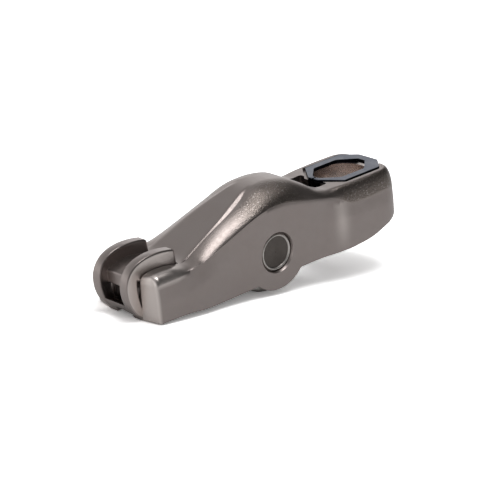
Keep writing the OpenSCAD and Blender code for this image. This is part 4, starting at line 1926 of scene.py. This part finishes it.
@dataclass
class Studio:
    """Pale floor under the two contacts, soft light and the world's plain gradient."""

    floor_size: float = 3.0
    floor_tone: float = 0.85
    seen_tone: float = 2.1
    floor_lift: float = 0.12
    side_lift: float = 0.4
    side_at: Point = (0.02, 0.07)
    pale_side: Place = (-0.55, 0.83, 0.0)
    lamp_place: Place = (-0.03, -0.11, 0.58)
    lamp_size: float = 0.28
    lamp_power: float = 1.2
    ambient: float = 0.5
    sky_at: Point = (-0.35, 0.2)
    sky_tones: Point = (0.1, 1.1)
    dim_at: Point = (0.3, 0.66)
    dim_to: float = 0.42
    steepest: float = 20.0
    halvings: int = 40

    def rest_tilt(self, lever: Piece) -> Point:
        """Finds the floor that roller and valve end both touch.

        Args:
            lever: The lever's piece.

        Returns:
            The floor's tilt in radians and its height along its own upward direction, in metres.
        """
        points = vertex_places(lever)
        low, high = 0.0, math.radians(self.steepest)
        for _ in range(self.halvings):
            tilt = (low + high) / 2
            up = np.array([math.sin(tilt), 0, math.cos(tilt)])
            by_roller = float(np.array(AXLE) @ up) - ROLLER_R * MM
            by_lever = float((points @ up).min())
            low, high = (tilt, high) if by_lever > by_roller else (low, tilt)
        return tilt, by_roller

    def build(self, lever: Piece) -> None:
        """Builds floor, lamp and world.

        Args:
            lever: The lever's piece, which the floor touches.
        """
        tilt, level = self.rest_tilt(lever)
        LOG.info("floor tilt %.2f degrees", math.degrees(tilt))
        stand = Matrix.Rotation(tilt, 4, "Y")
        half = self.floor_size / 2
        mesh = bpy.data.meshes.new("floor")
        corners = [(-half, -half, 0), (half, -half, 0), (half, half, 0), (-half, half, 0)]
        mesh.from_pydata(corners, [], [(0, 1, 2, 3)])
        mesh.materials.append(self.floor_material())
        floor = add_object("floor", mesh)
        up = Vector((math.sin(tilt), 0, math.cos(tilt)))
        floor.matrix_world = Matrix.Translation(up * level) @ stand
        self.lamp(stand)
        self.world()

    def lamp(self, stand: Matrix) -> None:
        """Hangs a square soft light over the object, aimed at it.

        Args:
            stand: Rotation of the floor.
        """
        data = bpy.data.lights.new("top_light", "AREA")
        data.shape = "SQUARE"
        data.size = self.lamp_size
        data.energy = self.lamp_power
        where = stand @ Vector(self.lamp_place)
        aim = (AXLE - where).to_track_quat("-Z", "Y")
        lamp = add_object("top_light", data)
        lamp.matrix_world = Matrix.Translation(where) @ aim.to_matrix().to_4x4()

    def floor_material(self) -> bpy.types.Material:
        """Builds the matte pale floor, which the camera sees a little brighter, so that it reads as white.

        Returns:
            The material.
        """
        material = bpy.data.materials.new("pale_floor")
        material.use_nodes = True
        n = Nodes(material.node_tree)
        out = n.add("OutputMaterial")
        matte = n.add("BsdfDiffuse")
        glow = n.add("Emission")
        both = n.add("MixShader")
        ray = n.add("LightPath").outputs
        tones = [(tone,) * 3 for tone in (self.floor_tone, self.seen_tone)]
        n.link(n.mix(ray["Is Camera Ray"], *tones), matte.inputs["Color"])
        n.feed(glow.inputs["Color"], (1.0, 1.0, 1.0))
        across = n.dot(n.local(), self.pale_side)
        shine = n.math("MULTIPLY", ray["Is Glossy Ray"], n.span(across, self.side_at, (0.0, self.side_lift)))
        seen = n.math("MULTIPLY", ray["Is Camera Ray"], self.floor_lift)
        n.link(n.math("ADD", seen, shine), both.inputs[0])
        n.link(matte.outputs[0], both.inputs[1])
        n.link(glow.outputs[0], both.inputs[2])
        n.link(both.outputs[0], out.inputs[0])
        return material

    def world(self) -> None:
        """Makes a world that is white for the camera, a soft gradient for gloss and plain for the rest."""
        world = bpy.data.worlds.new("studio")
        bpy.context.scene.world = world
        world.use_nodes = True
        n = Nodes(world.node_tree)
        out = n.add("OutputWorld")
        sky = n.add("Background")
        ray = n.add("LightPath").outputs
        direction = n.local("Generated")
        lower = n.span(n.parts(direction).outputs["Z"], self.dim_at, (1.0, self.dim_to))
        side = n.span(n.dot(direction, self.pale_side), self.sky_at, self.sky_tones)
        level = n.mix(ray["Is Glossy Ray"], (self.ambient,) * 3, n.math("MULTIPLY", side, lower))
        n.link(n.mix(ray["Is Camera Ray"], level, (1.0, 1.0, 1.0)), sky.inputs["Color"])
        n.link(sky.outputs[0], out.inputs[0])


def main() -> None:
    """Builds the pieces in order, dresses them and sets the studio."""
    logging.basicConfig(level=logging.INFO, format="%(message)s")
    bpy.context.scene.view_settings.view_transform = "Standard"
    effects = Effects()
    sheet, ground = NitridedSheet().material(effects), GroundSteel().material(effects)
    pin, spring = HardenedPin().material(effects), BluedSpring().material(effects)
    form = LeverForm()
    clip = RetainingClip(form)
    lever = Lever(form, GuideEars(form)).build(clip.pocket_tools())
    dressed = [(lever, sheet), (RollerAxle().build(), pin), (CamRoller().build(), ground)]
    dressed += [(needle, ground) for needle in NeedleSet().build()]
    dressed.append((clip.build(), spring))
    for piece, material in dressed:
        piece.data.materials.clear()
        piece.data.materials.append(material)
        LOG.info("%s: %d faces, %s", piece.name, len(piece.data.polygons), material.name)
    Viewpoint().build()
    Studio().build(lever)


if __name__ == "__main__":
    main()
